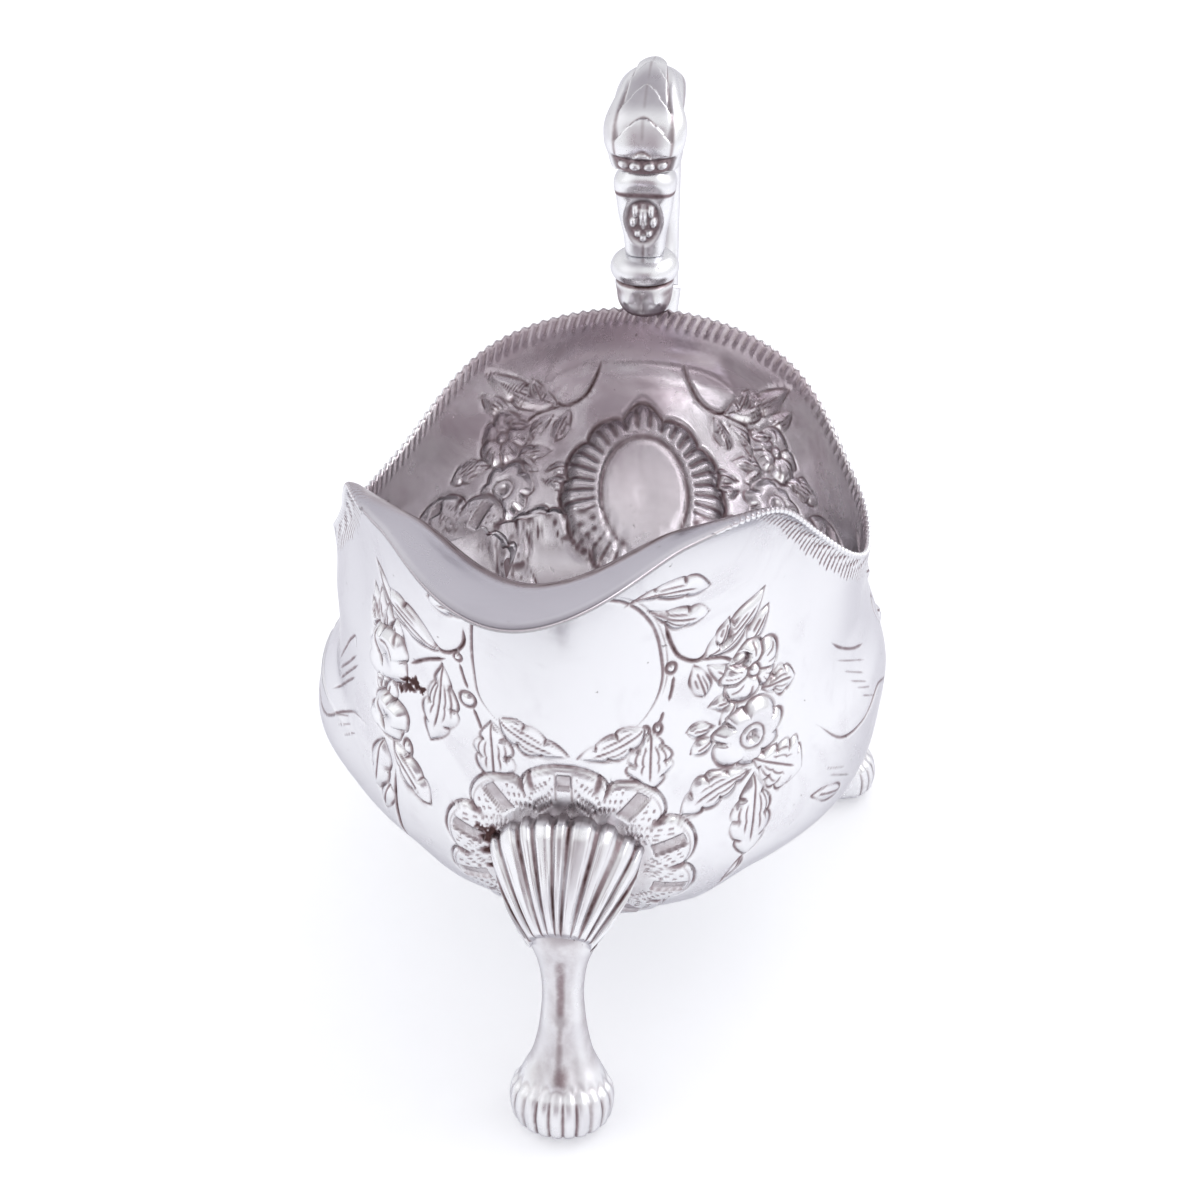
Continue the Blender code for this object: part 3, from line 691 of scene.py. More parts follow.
def distance_from_row(points, row):
    """How far each point lies from a row of the grid, along its column."""
    steps = np.linalg.norm(np.diff(points, axis=0), axis=-1)
    reach = np.concatenate([np.zeros((1, points.shape[1])), np.cumsum(steps, axis=0)])
    return np.abs(reach - reach[row])


def grid_normals(points):
    """Normals of a grid that is closed round its columns."""
    around = np.roll(points, -1, axis=1) - np.roll(points, 1, axis=1)
    upward = np.gradient(points, axis=0)
    return unit(np.cross(around, upward))


def cell_steps(height):
    """For each coarse cell, the widest step that keeps the relief: a whole cell, half of it or one column."""
    rows = (height.shape[0] - 1) // CELL
    columns = height.shape[1] // CELL
    wrapped = np.concatenate([height, height[:, :1]], axis=1)
    r = (np.arange(rows) * CELL)[:, None, None, None]
    c = (np.arange(columns) * CELL)[None, :, None, None]
    inner = np.arange(CELL + 1)
    nodes = wrapped[r + inner[:, None], c + inner[None, :]]

    def misfit(step):
        worst = np.zeros((rows, columns))
        share = np.arange(step + 1) / step
        for i in range(0, CELL, step):
            for j in range(0, CELL, step):
                part = nodes[:, :, i : i + step + 1, j : j + step + 1]
                low = part[:, :, :1, :1] * (1 - share) + part[:, :, :1, -1:] * share
                high = part[:, :, -1:, :1] * (1 - share) + part[:, :, -1:, -1:] * share
                flat = low * (1 - share[:, None]) + high * share[:, None]
                worst = np.maximum(worst, np.abs(part - flat).max(axis=(2, 3)))
        return worst

    steps = np.full((rows, columns), 1)
    steps[misfit(2) < CELL_TOLERANCE] = 2
    steps[misfit(CELL) < CELL_TOLERANCE] = CELL
    return steps


def thinned_faces(height):
    """Faces over the fine grid's points: coarse where smooth, with finer neighbours' points at the sides."""
    steps = cell_steps(height)
    columns = height.shape[1]
    used = np.zeros(height.shape, bool)
    for step in (1, 2, CELL):
        r, c = np.nonzero(steps == step)
        for i in range(0, CELL + 1, step):
            for j in range(0, CELL + 1, step):
                used[r * CELL + i, (c * CELL + j) % columns] = True
    faces = []
    r, c = np.nonzero(steps == 1)
    for i in range(CELL):
        for j in range(CELL):
            low = (r * CELL + i) * columns
            high = low + columns
            left = (c * CELL + j) % columns
            right = (left + 1) % columns
            faces += np.stack([low + left, low + right, high + right, high + left], -1).tolist()
    rows_used = used.tolist()
    for step in (2, CELL):
        for r, c in (np.argwhere(steps == step) * CELL).tolist():
            for i in range(0, CELL, step):
                faces += [cell_outline(rows_used, r + i, c + j, step, columns) for j in range(0, CELL, step)]
    return faces, used


def cell_outline(used, row, column, step, columns):
    """The used points round a cell, in order."""
    sides = [(row, column + k) for k in range(step)]
    sides += [(row + k, column + step) for k in range(step)]
    sides += [(row + step, column + step - k) for k in range(step)]
    sides += [(row + step - k, column) for k in range(step)]
    return [i * columns + j % columns for i, j in sides if used[i][j % columns]]


def new_piece(name, points, faces, material, node, slot, normals=None, **marks):
    """A mesh piece in place of a CAD node. Points are in millimetres, and marks are values at the points."""
    mesh = bpy.data.meshes.new(name)
    mesh.from_pydata((points * MM).tolist(), [], faces)
    mesh.update()
    mesh.shade_smooth()
    for label, values in marks.items():
        layer = mesh.attributes.new(label, "FLOAT", "POINT")
        layer.data.foreach_set("value", values.astype(np.float32))
    if normals is not None:
        mesh.normals_split_custom_set_from_vertices(normals.tolist())
    mesh.materials.append(material)
    piece = add_object(name, mesh)
    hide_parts(node)
    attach(piece, "root")


def add_object(name, data):
    made = bpy.data.objects.new(name, data)
    bpy.context.scene.collection.objects.link(made)
    return made


def add_bowl(material):
    """The bowl: a fan of faces closes each end of its grid, and points that no face uses are left out."""
    points, height, dark, inner = bowl_relief()
    coarse = np.where(inner > 0, INNER_COARSENESS, 1.0)
    faces, used = thinned_faces((height - DARK_AS_HEIGHT * dark) * coarse)
    count = height.size
    for row, pole, way in ((0, count, -1), (len(points) - 1, count + 1, 1)):
        ring = (row * COLUMNS + np.flatnonzero(used[row])).tolist()
        after = ring[1:] + ring[:1]
        pairs = zip(ring, after) if way > 0 else zip(after, ring)
        faces += [[first, second, pole] for first, second in pairs]
    keep = np.append(np.flatnonzero(used.ravel()), (count, count + 1))
    index = np.zeros(count + 2, int)
    index[keep] = np.arange(len(keep))
    index = index.tolist()
    faces = [[index[v] for v in face] for face in faces]

    def kept(grid, below, above):
        return np.concatenate([grid.reshape(count, -1), np.reshape([below, above], (2, -1))])[keep]

    new_piece("bowl_chased", kept(points, points[0].mean(axis=0), points[-1].mean(axis=0)), faces, material,
              "bowl", "sheet_silver", kept(grid_normals(points), (0, 0, -1), (0, 0, 1)),
              dark=kept(dark, 0, 0).ravel(), inside=kept(inner, 0, 1).ravel())


# Legs, in a leg's own plane: height, distance out from the belly's centre, width across and depth along.
LEG_STANDS = {"front": (-90.0, 0.0), "rear_left": (134.0, -4.0), "rear_right": (46.0, -4.0)}
LEG_SECTIONS = (
    (0.0, 56.4, 9.0, 7.6), (1.2, 56.5, 12.8, 10.8), (3.8, 56.4, 15.2, 13.0), (7.0, 56.0, 14.8, 12.6),
    (9.6, 55.4, 12.2, 10.4), (11.8, 54.8, 9.8, 8.6), (14.5, 54.2, 8.2, 7.2), (19.0, 53.6, 6.8, 6.2),
    (24.0, 53.0, 6.4, 5.8), (28.5, 52.5, 7.8, 6.4), (32.0, 51.9, 10.6, 7.2), (34.5, 50.9, 12.2, 7.4),
    (38.0, 48.0, 12.4, 7.0), (43.0, 43.6, 11.0, 6.4),
)
LEG_ROWS = 150
LEG_COLUMNS = 132
TOE_FLUTE_TURN = 17.0
TOE_TOP = 8.9
SUNK = 0.35  # how deep a leg's top sinks into the bowl's wall
PLATE_BACK_DARK = 0.5  # how dark the back of a knee shell or of the leaf cap is

# Knee shells.
SHELL_CENTRE_HEIGHT = 27.0
SHELL_ROOT_RADIUS = 6.4
SHELL_RAY_ANGLES = (0, 12, 24, 36, 43)
SHELL_RAY_LENGTHS = (24.2, 23.7, 22.2, 18.0, 8.0)
SHELL_THICKNESS = 1.5
SHELL_ROOT_OUT = 55.4
SHELL_TIP_OUT = 51.8
SHELL_BULGE = 2.2
SHELL_WRAP = 4.6
SHELL_RIBS = 11
SHELL_RIB_DEPTH = 0.62

# Handle.
KNOP_AXIS_Y = 54.6
KNOP_OUTLINE = ((88.9, 2.0), (89.5, 3.4), (91.0, 4.5), (93.2, 4.9), (95.0, 5.0), (95.5, 4.7), (96.0, 5.4),
                (97.2, 5.85), (98.6, 5.5), (99.6, 4.5), (99.9, 3.2))
# Each row of the stem is its height, its middle's y, its width and its depth.
STEM_SECTIONS = (
    (100.1, 54.9, 6.6, 6.0), (103.0, 55.0, 7.2, 6.6), (107.0, 55.2, 9.0, 7.4), (110.4, 55.4, 10.0, 7.8),
    (111.2, 55.5, 10.4, 8.6), (113.2, 55.6, 10.2, 8.6), (114.4, 55.8, 8.6, 7.4),
)
# Each row of a scroll is its centre's y and z, its width and its depth.
UPPER_SCROLL = (
    (55.9, 114.8, 6.4, 6.0), (56.1, 118.8, 8.6, 6.4), (59.8, 123.4, 9.2, 6.2), (66.4, 124.4, 8.8, 5.8),
    (73.0, 121.0, 8.0, 5.6), (77.4, 113.6, 7.2, 5.4), (78.7, 104.0, 6.8, 5.2), (77.4, 93.6, 6.6, 5.2),
    (73.8, 85.6, 7.2, 6.2),
)
LOWER_SCROLL = (
    (73.6, 85.1, 8.2, 6.8), (72.2, 81.6, 7.6, 6.2), (74.2, 75.4, 6.6, 5.2), (74.2, 67.0, 6.2, 5.0),
    (69.4, 59.6, 6.2, 5.0), (61.6, 56.4, 6.8, 6.0), (52.0, 55.4, 9.0, 8.4),
)
SCROLL_LINES = 0.62  # turn from the middle of a scroll's back to the line beside it
SECTION_SQUARENESS = 2.6
FOOT_LIFT = 0.15
LEAF_SPAN = (0.02, 0.52)
LEAF_THICKNESS = 1.2
LEAF_STAND_OFF = 1.2
LEAF_HALF_WRAP = 1.9
LEAF_NARROWEST = 0.25
LEAF_ROWS = 150
LEAF_COLUMNS = 110
LEAF_BACK = -0.25


def bottom_reach(turn, height):
    """Distance from the belly's upright axis to the bowl's surface, below the belly."""
    lift = np.clip((height - FOOT_OF_BOWL) / (BELLY_HEIGHT - FOOT_OF_BOWL), 0, 1)
    low = np.arccos(np.clip(1 - lift, 0, 1) ** (BOTTOM_FULLNESS / 2))
    spread = np.sin(low) ** (2 / BOTTOM_FULLNESS)
    return spread / np.hypot(np.cos(turn) / BELLY_HALF_WIDTH, np.sin(turn) / BELLY_HALF_LENGTH)


def outside_bowl(points):
    """Points that would lie inside the lower bowl, moved out into its wall."""
    plan = points[..., :2] - (0.0, BELLY_CENTRE_Y)
    out = np.hypot(plan[..., 0], plan[..., 1])
    least = bottom_reach(np.arctan2(plan[..., 1], plan[..., 0]), points[..., 2]) - SUNK
    grow = np.maximum(out, least) / np.maximum(out, 1e-6)
    plan = plan * grow[..., None] + (0.0, BELLY_CENTRE_Y)
    return np.concatenate([plan, points[..., 2:]], -1)


def stand_at(points, direction, shift):
    """Points of a leg's own plane, turned to where the leg stands."""
    turn = math.radians(direction)
    out, across, height = np.moveaxis(points, -1, 0)
    x = math.cos(turn) * (out + shift) - math.sin(turn) * across
    y = math.sin(turn) * (out + shift) + math.cos(turn) * across + BELLY_CENTRE_Y
    return np.stack([x, y, height], -1)


def grid_quads(rows, columns, width):
    """Quads between neighbouring rows and columns of a grid that is so many columns wide."""
    i = np.arange(rows - 1)[:, None] * width
    j = np.arange(columns)[None, :]
    right = (j + 1) % width
    return np.stack([i + j, i + right, i + width + right, i + width + j], -1).reshape(-1, 4)


def add_tube(node, points, dark, material):
    """A closed body from rows of rings, with a fan of faces over each end."""
    rows, columns = points.shape[:2]
    faces = grid_quads(rows, columns, columns).tolist()
    foot, top = rows * columns, rows * columns + 1
    last = (rows - 1) * columns
    for j in range(columns):
        after = (j + 1) % columns
        faces += [[after, j, foot], [last + j, last + after, top]]
    everything = np.concatenate([points.reshape(-1, 3), [points[0].mean(axis=0), points[-1].mean(axis=0)]])
    all_dark = np.append(dark, (0, 0))
    new_piece(node + "_cast", everything, faces, material, node, "cast_silver", dark=all_dark)


def add_plate(node, front, back, dark, material):
    """A closed plate between two grids of points."""
    rows, columns = front.shape[:2]
    quads = grid_quads(rows, columns - 1, columns)
    count = rows * columns
    edge = np.concatenate([np.arange(columns - 1), np.arange(rows - 1) * columns + columns - 1,
                           count - 1 - np.arange(columns - 1), (rows - 1 - np.arange(rows - 1)) * columns])
    after = np.roll(edge, -1)
    sides = np.stack([after, edge, edge + count, after + count], -1)
    faces = np.concatenate([quads, quads[:, ::-1] + count, sides]).tolist()
    everything = np.concatenate([front.reshape(-1, 3), back.reshape(-1, 3)])
    all_dark = np.append(dark, np.full(count, PLATE_BACK_DARK))
    new_piece(node + "_cast", everything, faces, material, node, "cast_silver", dark=all_dark)


def full_turn(count):
    """Turns right round a ring, from its back."""
    return np.linspace(-np.pi, np.pi, count, endpoint=False)


def leg_grid():
    """A leg: fluted toes, a plain ankle and a stem with a channel down its front."""
    sections = np.array(LEG_SECTIONS)
    height = LEG_SECTIONS[-1][0] * np.linspace(0, 1, LEG_ROWS) ** 1.4
    out, width, depth = (smooth(sections[:, 0], sections[:, k], height)[:, None] for k in (1, 2, 3))
    a, z = np.meshgrid(full_turn(LEG_COLUMNS), height)
    degrees = np.degrees(a)
    front = ramp(112 - np.abs(degrees), 0, 14)
    flute = np.abs(np.cos(np.pi * degrees / TOE_FLUTE_TURN + 0.2 * np.sin(4 * a)))
    toe_top = TOE_TOP + 0.5 * np.cos(2.2 * a) + 1.1 * (flute**0.6 - 1)
    toes = front * ramp(toe_top - z, 0, 1.3) * ramp(z, 0.1, 1.2)
    groove = (1 - flute**0.4) ** 1.3 * toes
    toe_lip = front * bell(z - toe_top - 0.2, 0.6)
    channel = bell(degrees, 19) * ramp(z, 18.5, 21.0) * (1 - ramp(z, 28.0, 33.0))
    shade = bell(degrees, 50) * bell(z - 11.2, 2.4) * (0.6 + 0.4 * np.sin(7 * a + 1))
    ridge = bell(degrees, 13) * ramp(z, 8.5, 10.5) * (1 - ramp(z, 17.5, 19.5))
    beside = bell(np.abs(degrees) - 30, 13) * ramp(z, 8.0, 10) * (1 - ramp(z, 12.0, 20.0))
    lift = 0.35 * toes - 0.85 * groove - 0.2 * toe_lip - 0.5 * channel + 0.45 * ridge - 0.3 * beside
    x = out + (depth / 2 + lift) * np.cos(a)
    y = (width / 2 + lift) * np.sin(a)
    # The leg is darker above the toes, a film, with lighter strips left at either side as painted highlights.
    film_and_painted_light = ramp(z, 9.0, 12.0) * (1 - 0.6 * bell(np.abs(degrees) - 48, 14))
    dark = np.maximum.reduce([0.9 * groove, 0.22 * toe_lip, 0.48 * channel, 0.2 * beside, 0.36 * ridge,
                              0.5 * shade, 0.22 * film_and_painted_light])
    return np.stack([x, y, z], -1), dark


def shell_grids():
    """A knee shell's two sides and how dark its front is: ribs of uneven width that fan out from the root."""
    across = np.linspace(-1, 1, 150)[None, :]
    along = np.linspace(0, 1, 46)[:, None]
    sway = across + 0.03 * np.sin(7 * across + 1.0) + 0.016 * np.sin(19 * across) + 0.008 * np.sin(5 * along)
    wave = np.cos(np.pi * SHELL_RIBS * sway)
    rib = np.clip(0.72 + 0.85 * wave, 0, 1) ** 0.8
    fine = bell(np.sin(np.pi * SHELL_RIBS * sway * 1.5 + 0.9), 0.22)
    degrees = SHELL_RAY_ANGLES[-1] * across
    length = round_the_bowl(SHELL_RAY_ANGLES, SHELL_RAY_LENGTHS, np.abs(degrees)) + 0.7 * rib
    radius = SHELL_ROOT_RADIUS + (length - SHELL_ROOT_RADIUS) * along
    side = radius * np.sin(np.radians(degrees))
    rise = radius * np.cos(np.radians(degrees))
    share = rise / SHELL_RAY_LENGTHS[0]
    out = SHELL_ROOT_OUT + (SHELL_TIP_OUT - SHELL_ROOT_OUT) * share
    out = out + SHELL_BULGE * np.sin(np.pi * share) - SHELL_WRAP * (side / 10.0) ** 2
    deep = ramp(along, 0.0, 0.35) * SHELL_RIB_DEPTH
    rolled = 0.7 * ramp(along, 0.90, 1.0) ** 2
    relief = deep * (rib - 0.75) - 0.16 * deep * fine - rolled - 1.5 * ramp(along, 0.16, 0.0)
    z = SHELL_CENTRE_HEIGHT + rise
    front = np.stack([out + relief, side, z], -1)
    thick = SHELL_THICKNESS + 1.9 * ramp(along, 0.3, 1.0)
    back = np.stack([out - thick, side, z], -1)
    worn = 0.75 + 0.25 * np.sin(7 * along + 11 * across)
    crack = 0.9 * bell(wave + 1, 0.28) * worn * ramp(along, 0.02, 0.15)
    patch = 0.3 * bell(across - 0.05, 0.12) * np.clip(np.sin(9 * along + 3 * across), 0, 1)
    dark = np.maximum.reduce([crack, 0.3 * fine * ramp(along, 0.1, 0.4), patch])
    return front, back, dark


def add_legs(material):
    leg, leg_dark = leg_grid()
    front, back, shell_dark = shell_grids()
    for place, stand in LEG_STANDS.items():
        add_tube(place + "_leg", outside_bowl(stand_at(leg, *stand)), leg_dark, material)
        behind = outside_bowl(stand_at(back, *stand))
        add_plate(place + "_knee_shell", stand_at(front, *stand), behind, shell_dark, material)


def section_round(turn, width, depth):
    """Offsets across and outward round a superellipse, at turns from its outward side."""
    power = 2 / SECTION_SQUARENESS
    across = width / 2 * np.sign(np.sin(turn)) * np.abs(np.sin(turn)) ** power
    outward = depth / 2 * np.sign(np.cos(turn)) * np.abs(np.cos(turn)) ** power
    return across, outward


def add_knop(material):
    """The turned cup over the rim, with two bosses on its front, and the collar above it."""
    outline = np.array(KNOP_OUTLINE)
    reach = lengths_along(outline)
    at = np.linspace(0, reach[-1], 90)
    height = smooth(reach, outline[:, 0], at)[:, None]
    radius = smooth(reach, outline[:, 1], at)[:, None]
    turn = full_turn(96)[None, :]
    cup = ramp(height, 89.5, 91.0) * (1 - ramp(height, 93.8, 95.4))
    gadroon = np.abs(np.cos(2 * turn + np.pi / 2)) ** 0.5
    boss = bell(np.abs(turn) - 0.44, 0.30) * bell(height - 92.5, 1.5)
    lift = 0.25 * cup * (gadroon - 1) + 0.95 * boss
    neck = bell(height - 95.5, 0.45)
    x = (radius + lift) * np.sin(turn)
    y = KNOP_AXIS_Y - (radius + lift) * np.cos(turn)
    foot = 1 - ramp(height, 89.4, 91.2)
    dark = np.maximum(0.42 * cup * (1 - boss) ** 2, np.maximum(0.9 * neck, 0.7 * foot))
    add_tube("handle_rim_knop", np.stack(np.broadcast_arrays(x, y, height), -1), dark, material)


def stem_ornament(across, height):
    """A drop of leaves and beads in a sunk oval: how far it stands out and how dark it is."""
    side = np.abs(across)
    from_middle = np.hypot(side / 3.3, (height - 106.4) / 4.3)
    oval = ramp(from_middle, 1.1, 0.75)
    raised = np.zeros_like(height)
    for x, z, wide, tall in ((0.0, 107.2, 0.62, 2.3), (1.35, 108.2, 0.55, 1.2), (1.75, 106.2, 0.6, 1.0),
                             (1.0, 104.2, 0.55, 0.7), (0.0, 103.4, 0.6, 0.7)):
        bump = np.clip(1 - ((side - x) / wide) ** 2 - ((height - z) / tall) ** 2, 0, 1) ** 0.5
        raised = np.maximum(raised, bump)
    crease = bell(across, 0.45) * ramp(height, 99.5, 100.5) * (1 - ramp(height, 101.6, 103.0))
    lift = oval * (0.85 * raised - 0.75) - 0.25 * crease
    dark = np.maximum(0.5 * oval * np.clip(1 - 1.3 * raised, 0, 1), 0.4 * crease)
    return lift, dark


def add_stem(material):
    sections = np.array(STEM_SECTIONS)
    height = np.linspace(STEM_SECTIONS[0][0], STEM_SECTIONS[-1][0], 130)[:, None]
    turn = full_turn(120)[None, :]
    middle, width, depth = (smooth(sections[:, 0], sections[:, k], height) for k in (1, 2, 3))
    across, outward = section_round(turn, width, depth)
    lift, dark = stem_ornament(*np.broadcast_arrays(across, height))
    facing = np.clip(np.cos(turn), 0, 1) ** 0.5
    under_collar = bell(height - 110.9, 0.35)
    dark = np.maximum(dark * facing, 0.7 * under_collar)
    y = middle - outward - lift * facing
    arch = 0.9 * ramp(height, 110.0, 112.0) * (1 - (across / 5.2) ** 2)
    points = np.stack([across, y, height + arch * np.clip(np.cos(turn), 0, 1)], -1)
    add_tube("handle_stem", points, dark, material)


def scroll_frames(scroll, share):
    """Along a scroll: its centres and the directions out of it, as (y, z), and half its width and depth."""

    def at(share):
        knots = np.linspace(0, 1, len(scroll))
        return np.stack([smooth(knots, column, share) for column in zip(*scroll)], -1)

    step = 1e-3
    travel = unit((at(share + step) - at(share - step))[:, :2])
    rows = at(share)[:, None, :]
    outward = np.stack([-travel[:, 1], travel[:, 0]], -1)[:, None, :]
    return rows[..., :2], outward, rows[..., 2] / 2, rows[..., 3] / 2


def on_scroll(centre, outward, across, out):
    """Points of a scroll, from how far they lie across it and out of it."""
    return np.concatenate([across[..., None], centre + outward * out[..., None]], -1)


def add_scroll(node, scroll, material):
    """A scroll of rounded square section with a line worked along each edge of its back."""
    share = np.linspace(0, 1, 150)
    turn = full_turn(72)[None, :]
    centre, outward, half_width, half_depth = scroll_frames(scroll, share)
    across, out = section_round(turn, 2 * half_width, 2 * half_depth)
    groove = bell(np.abs(turn) - SCROLL_LINES, 0.10) * np.sin(np.pi * share)[:, None] ** 0.3
    shrink = 1 - 0.07 * groove
    points = on_scroll(centre, outward, across * shrink, out * shrink)
    if scroll is LOWER_SCROLL:
        points[..., 1] = np.maximum(points[..., 1], handle_foot(points))
    add_tube(node, points[:, ::-1], 0.75 * groove[:, ::-1], material)


def handle_foot(points):
    """How far along +Y the scroll's foot ends: just inside the raised middle of the rear cartouche."""
    heights = np.linspace(BELLY_HEIGHT - 6, 70, 40)
    reach = on_bowl([(180.0, z) for z in heights])[:, 1]
    return np.interp(points[..., 2], heights, reach) - points[..., 0] ** 2 / 96 + FOOT_LIFT


def leaf_grid(across, along, lift):
    """Points of the leaf cap that stand out by a lift, at shares across and along it."""
    share = LEAF_SPAN[0] + (LEAF_SPAN[1] - LEAF_SPAN[0]) * along
    centre, outward, half_width, half_depth = scroll_frames(UPPER_SCROLL, share[:, 0])
    taper = np.sin(np.pi * np.minimum(1.0, 0.30 + 0.75 * along)) ** 0.5
    turn = LEAF_HALF_WRAP * across * np.maximum(taper, LEAF_NARROWEST)
    grow = LEAF_STAND_OFF + lift
    return on_scroll(centre, outward, (half_width + grow) * np.sin(turn), (half_depth + grow) * np.cos(turn))


def leaf_relief(across, along):
    """Stacked pointed lobes up the leaf's middle, a long leaf on each side of them and a beaded hem."""
    side = np.abs(across)
    share = side / (0.44 - 0.22 * along)
    scale = (6.2 * along + 0.8 * share**1.5) % 1.0
    stack = ramp(share, 1.06, 0.88)
    flank = np.clip(1 - ((side - 0.50 - 0.10 * along) / 0.20) ** 2, 0, 1) ** 0.5
    flank = flank * ramp(along, 0.10, 0.22) * (1 - ramp(along, 0.55, 0.85)) * (1 - stack)
    hollow = bell(side - 0.82, 0.10) * ramp(along, 0.05, 0.2)
    crest = bell(across, 0.26) * ramp(along, 0.40, 0.70)
    shoulder = ramp(side, 0.30, 0.85) * ramp(along, 0.35, 0.62)
    hem = ramp(along, 0.15, 0.12) * ramp(side, 0.60, 0.5)
    beads = np.zeros_like(side * along)
    for x in (-0.34, -0.12, 0.12, 0.34):
        bead = np.clip(1 - ((across - x) / 0.10) ** 2 - ((along - 0.085) / 0.032) ** 2, 0, 1) ** 0.5
        beads = np.maximum(beads, bead)
    lift = stack * (1 - hem) * (0.85 * scale**0.8 - 0.2) + 0.7 * flank - 0.55 * hollow
    lift = lift + 0.7 * crest - 1.2 * shoulder
    lift = lift + hem * (0.8 * beads - 0.7) - 0.45 * ramp(side, 0.9, 1.0) - 1.2 * ramp(along, 0.28, 0.5)
    lift = np.maximum(lift, -1.1)
    step = stack * (1 - hem) * bell(scale - 0.03, 0.06)
    border = bell(share - 1.0, 0.09) * (1 - hem) * (1 - ramp(along, 0.8, 0.95))
    crease = stack * (1 - hem) * bell(across, 0.03) * ramp(scale, 0.1, 0.4)
    dark = np.maximum.reduce([0.5 * step, 0.6 * hem * (1 - beads), 0.3 * hollow, 0.4 * border, 0.25 * crease])
    return lift, dark


def add_leaf_cap(material):
    places = np.linspace(-1, 1, LEAF_COLUMNS)[None, :], np.linspace(0, 1, LEAF_ROWS)[:, None]
    lift, dark = leaf_relief(*places)
    front = leaf_grid(*places, LEAF_THICKNESS + lift)
    add_plate("handle_leaf_cap", front, leaf_grid(*places, LEAF_BACK), dark, material)


def add_handle(material):
    add_knop(material)
    add_stem(material)
    add_scroll("handle_upper_scroll", UPPER_SCROLL, material)
    add_leaf_cap(material)
    add_scroll("handle_lower_scroll", LOWER_SCROLL, material)


# Colours of the silver and of the light and shade painted over it, in the order in which they are laid over
# one another.
CLEAN_SILVER = (0.825, 0.825, 0.845)
CLOUDED_SILVER = (0.60, 0.575, 0.62)
# The bare silver inside, brighter than outside; where the film is thin or cleared it shows as painted
# reflected light.
BARE_INSIDE_AND_PAINTED_LIGHT = (0.96, 0.945, 0.96)
INSIDE_TINT = (0.64, 0.565, 0.605)
DEEP_MAUVE = (0.42, 0.35, 0.385)
# The lip's inner face is painted grey for the room it reflects.
LIP_PAINTED_REFLECTION = (0.52, 0.50, 0.555)
# Tarnish in the lines, also used for the shade painted into the dark marks and on the lip.
PALE_TARNISH_AND_SHADE = (0.30, 0.235, 0.25)
DEEP_TARNISH_AND_SHADE = (0.075, 0.040, 0.038)
RUBBED_SILVER = (0.95, 0.945, 0.96)
PIT = (0.10, 0.07, 0.07)
SHEEN = (0.66, 0.65, 0.68)

# Noise in the silver: scale, detail, roughness and distortion.
CLOUDS = (70.0, 4.0, 0.6, 0.8)
MOTTLE = (420.0, 5.0, 0.65)
SCRATCHES = (900.0, 3.0, 0.7)
PITS = (650.0, 2.0, 0.5)
FILM_PATCHES = (38.0, 4.0, 0.62, 1.4)
SCRATCH_STRETCH = (1.0, 1.0, 9.0)
BUMP_STRENGTH = 0.22
BUMP_DEPTH = 0.00006

# Heights inside the bowl between which the film thickens, leaving the lower inside lighter as painted
# reflected light, and between which the inside darkens into a band, in metres.
FILM_HEIGHTS = (0.044, 0.074)
BAND_HEIGHTS = (0.077, 0.085)

# Places inside the bowl where the film is cleared to paint pools of reflected light, and how far that
# reaches, in metres.
PAINTED_LIGHT_POOLS = (((0.020, 0.046, 0.062), 0.020), ((-0.012, 0.048, 0.044), 0.022))


class Nodes:
    """Short calls for building a material's or the world's node tree."""

    def __init__(self, tree):
        self.tree = tree

    def add(self, kind, inputs, **settings):
        """A new node with its settings and with links or values for its inputs."""
        node = self.tree.nodes.new("ShaderNode" + kind)
        for label, value in settings.items():
            setattr(node, label, value)
        self.feed(node, inputs)
        return node

    def feed(self, node, inputs):
        for label, value in inputs.items():
            socket = node.inputs[label]
            if isinstance(value, bpy.types.NodeSocket):
                self.tree.links.new(value, socket)
            else:
                socket.default_value = (*value, 1.0) if socket.type == "RGBA" else value

    def math(self, operation, first, second=0.0, clamp=False):
        return self.add("Math", {0: first, 1: second}, operation=operation, use_clamp=clamp).outputs[0]

    def times(self, first, *others):
        for other in others:
            first = self.math("MULTIPLY", first, other)
        return first

    def span(self, value, start, end, low=0.0, high=1.0):
        """A value taken from one range to another, smoothly and without running over."""
        given = dict(enumerate((value, start, end, low, high)))
        return self.add("MapRange", given, interpolation_type="SMOOTHSTEP").outputs[0]

    def mix(self, share, first, second):
        return self.add("Mix", {0: share, 6: first, 7: second}, data_type="RGBA").outputs[2]

    def overlay(self, colour, layers):
        """A colour with other colours laid over it, each for its share."""
        for share, other in layers:
            colour = self.mix(share, colour, other)
        return colour

    def noise(self, where, scale, detail, roughness=0.55, distortion=0.0):
        given = {"Vector": where, "Scale": scale, "Detail": detail, "Roughness": roughness}
        return self.add("TexNoise", {**given, "Distortion": distortion}).outputs["Fac"]

    def distance(self, first, second):
        return self.add("VectorMath", {0: first, 1: second}, operation="DISTANCE").outputs["Value"]

    def value_of(self, attribute):
        return self.add("Attribute", {}, attribute_name=attribute).outputs["Fac"]


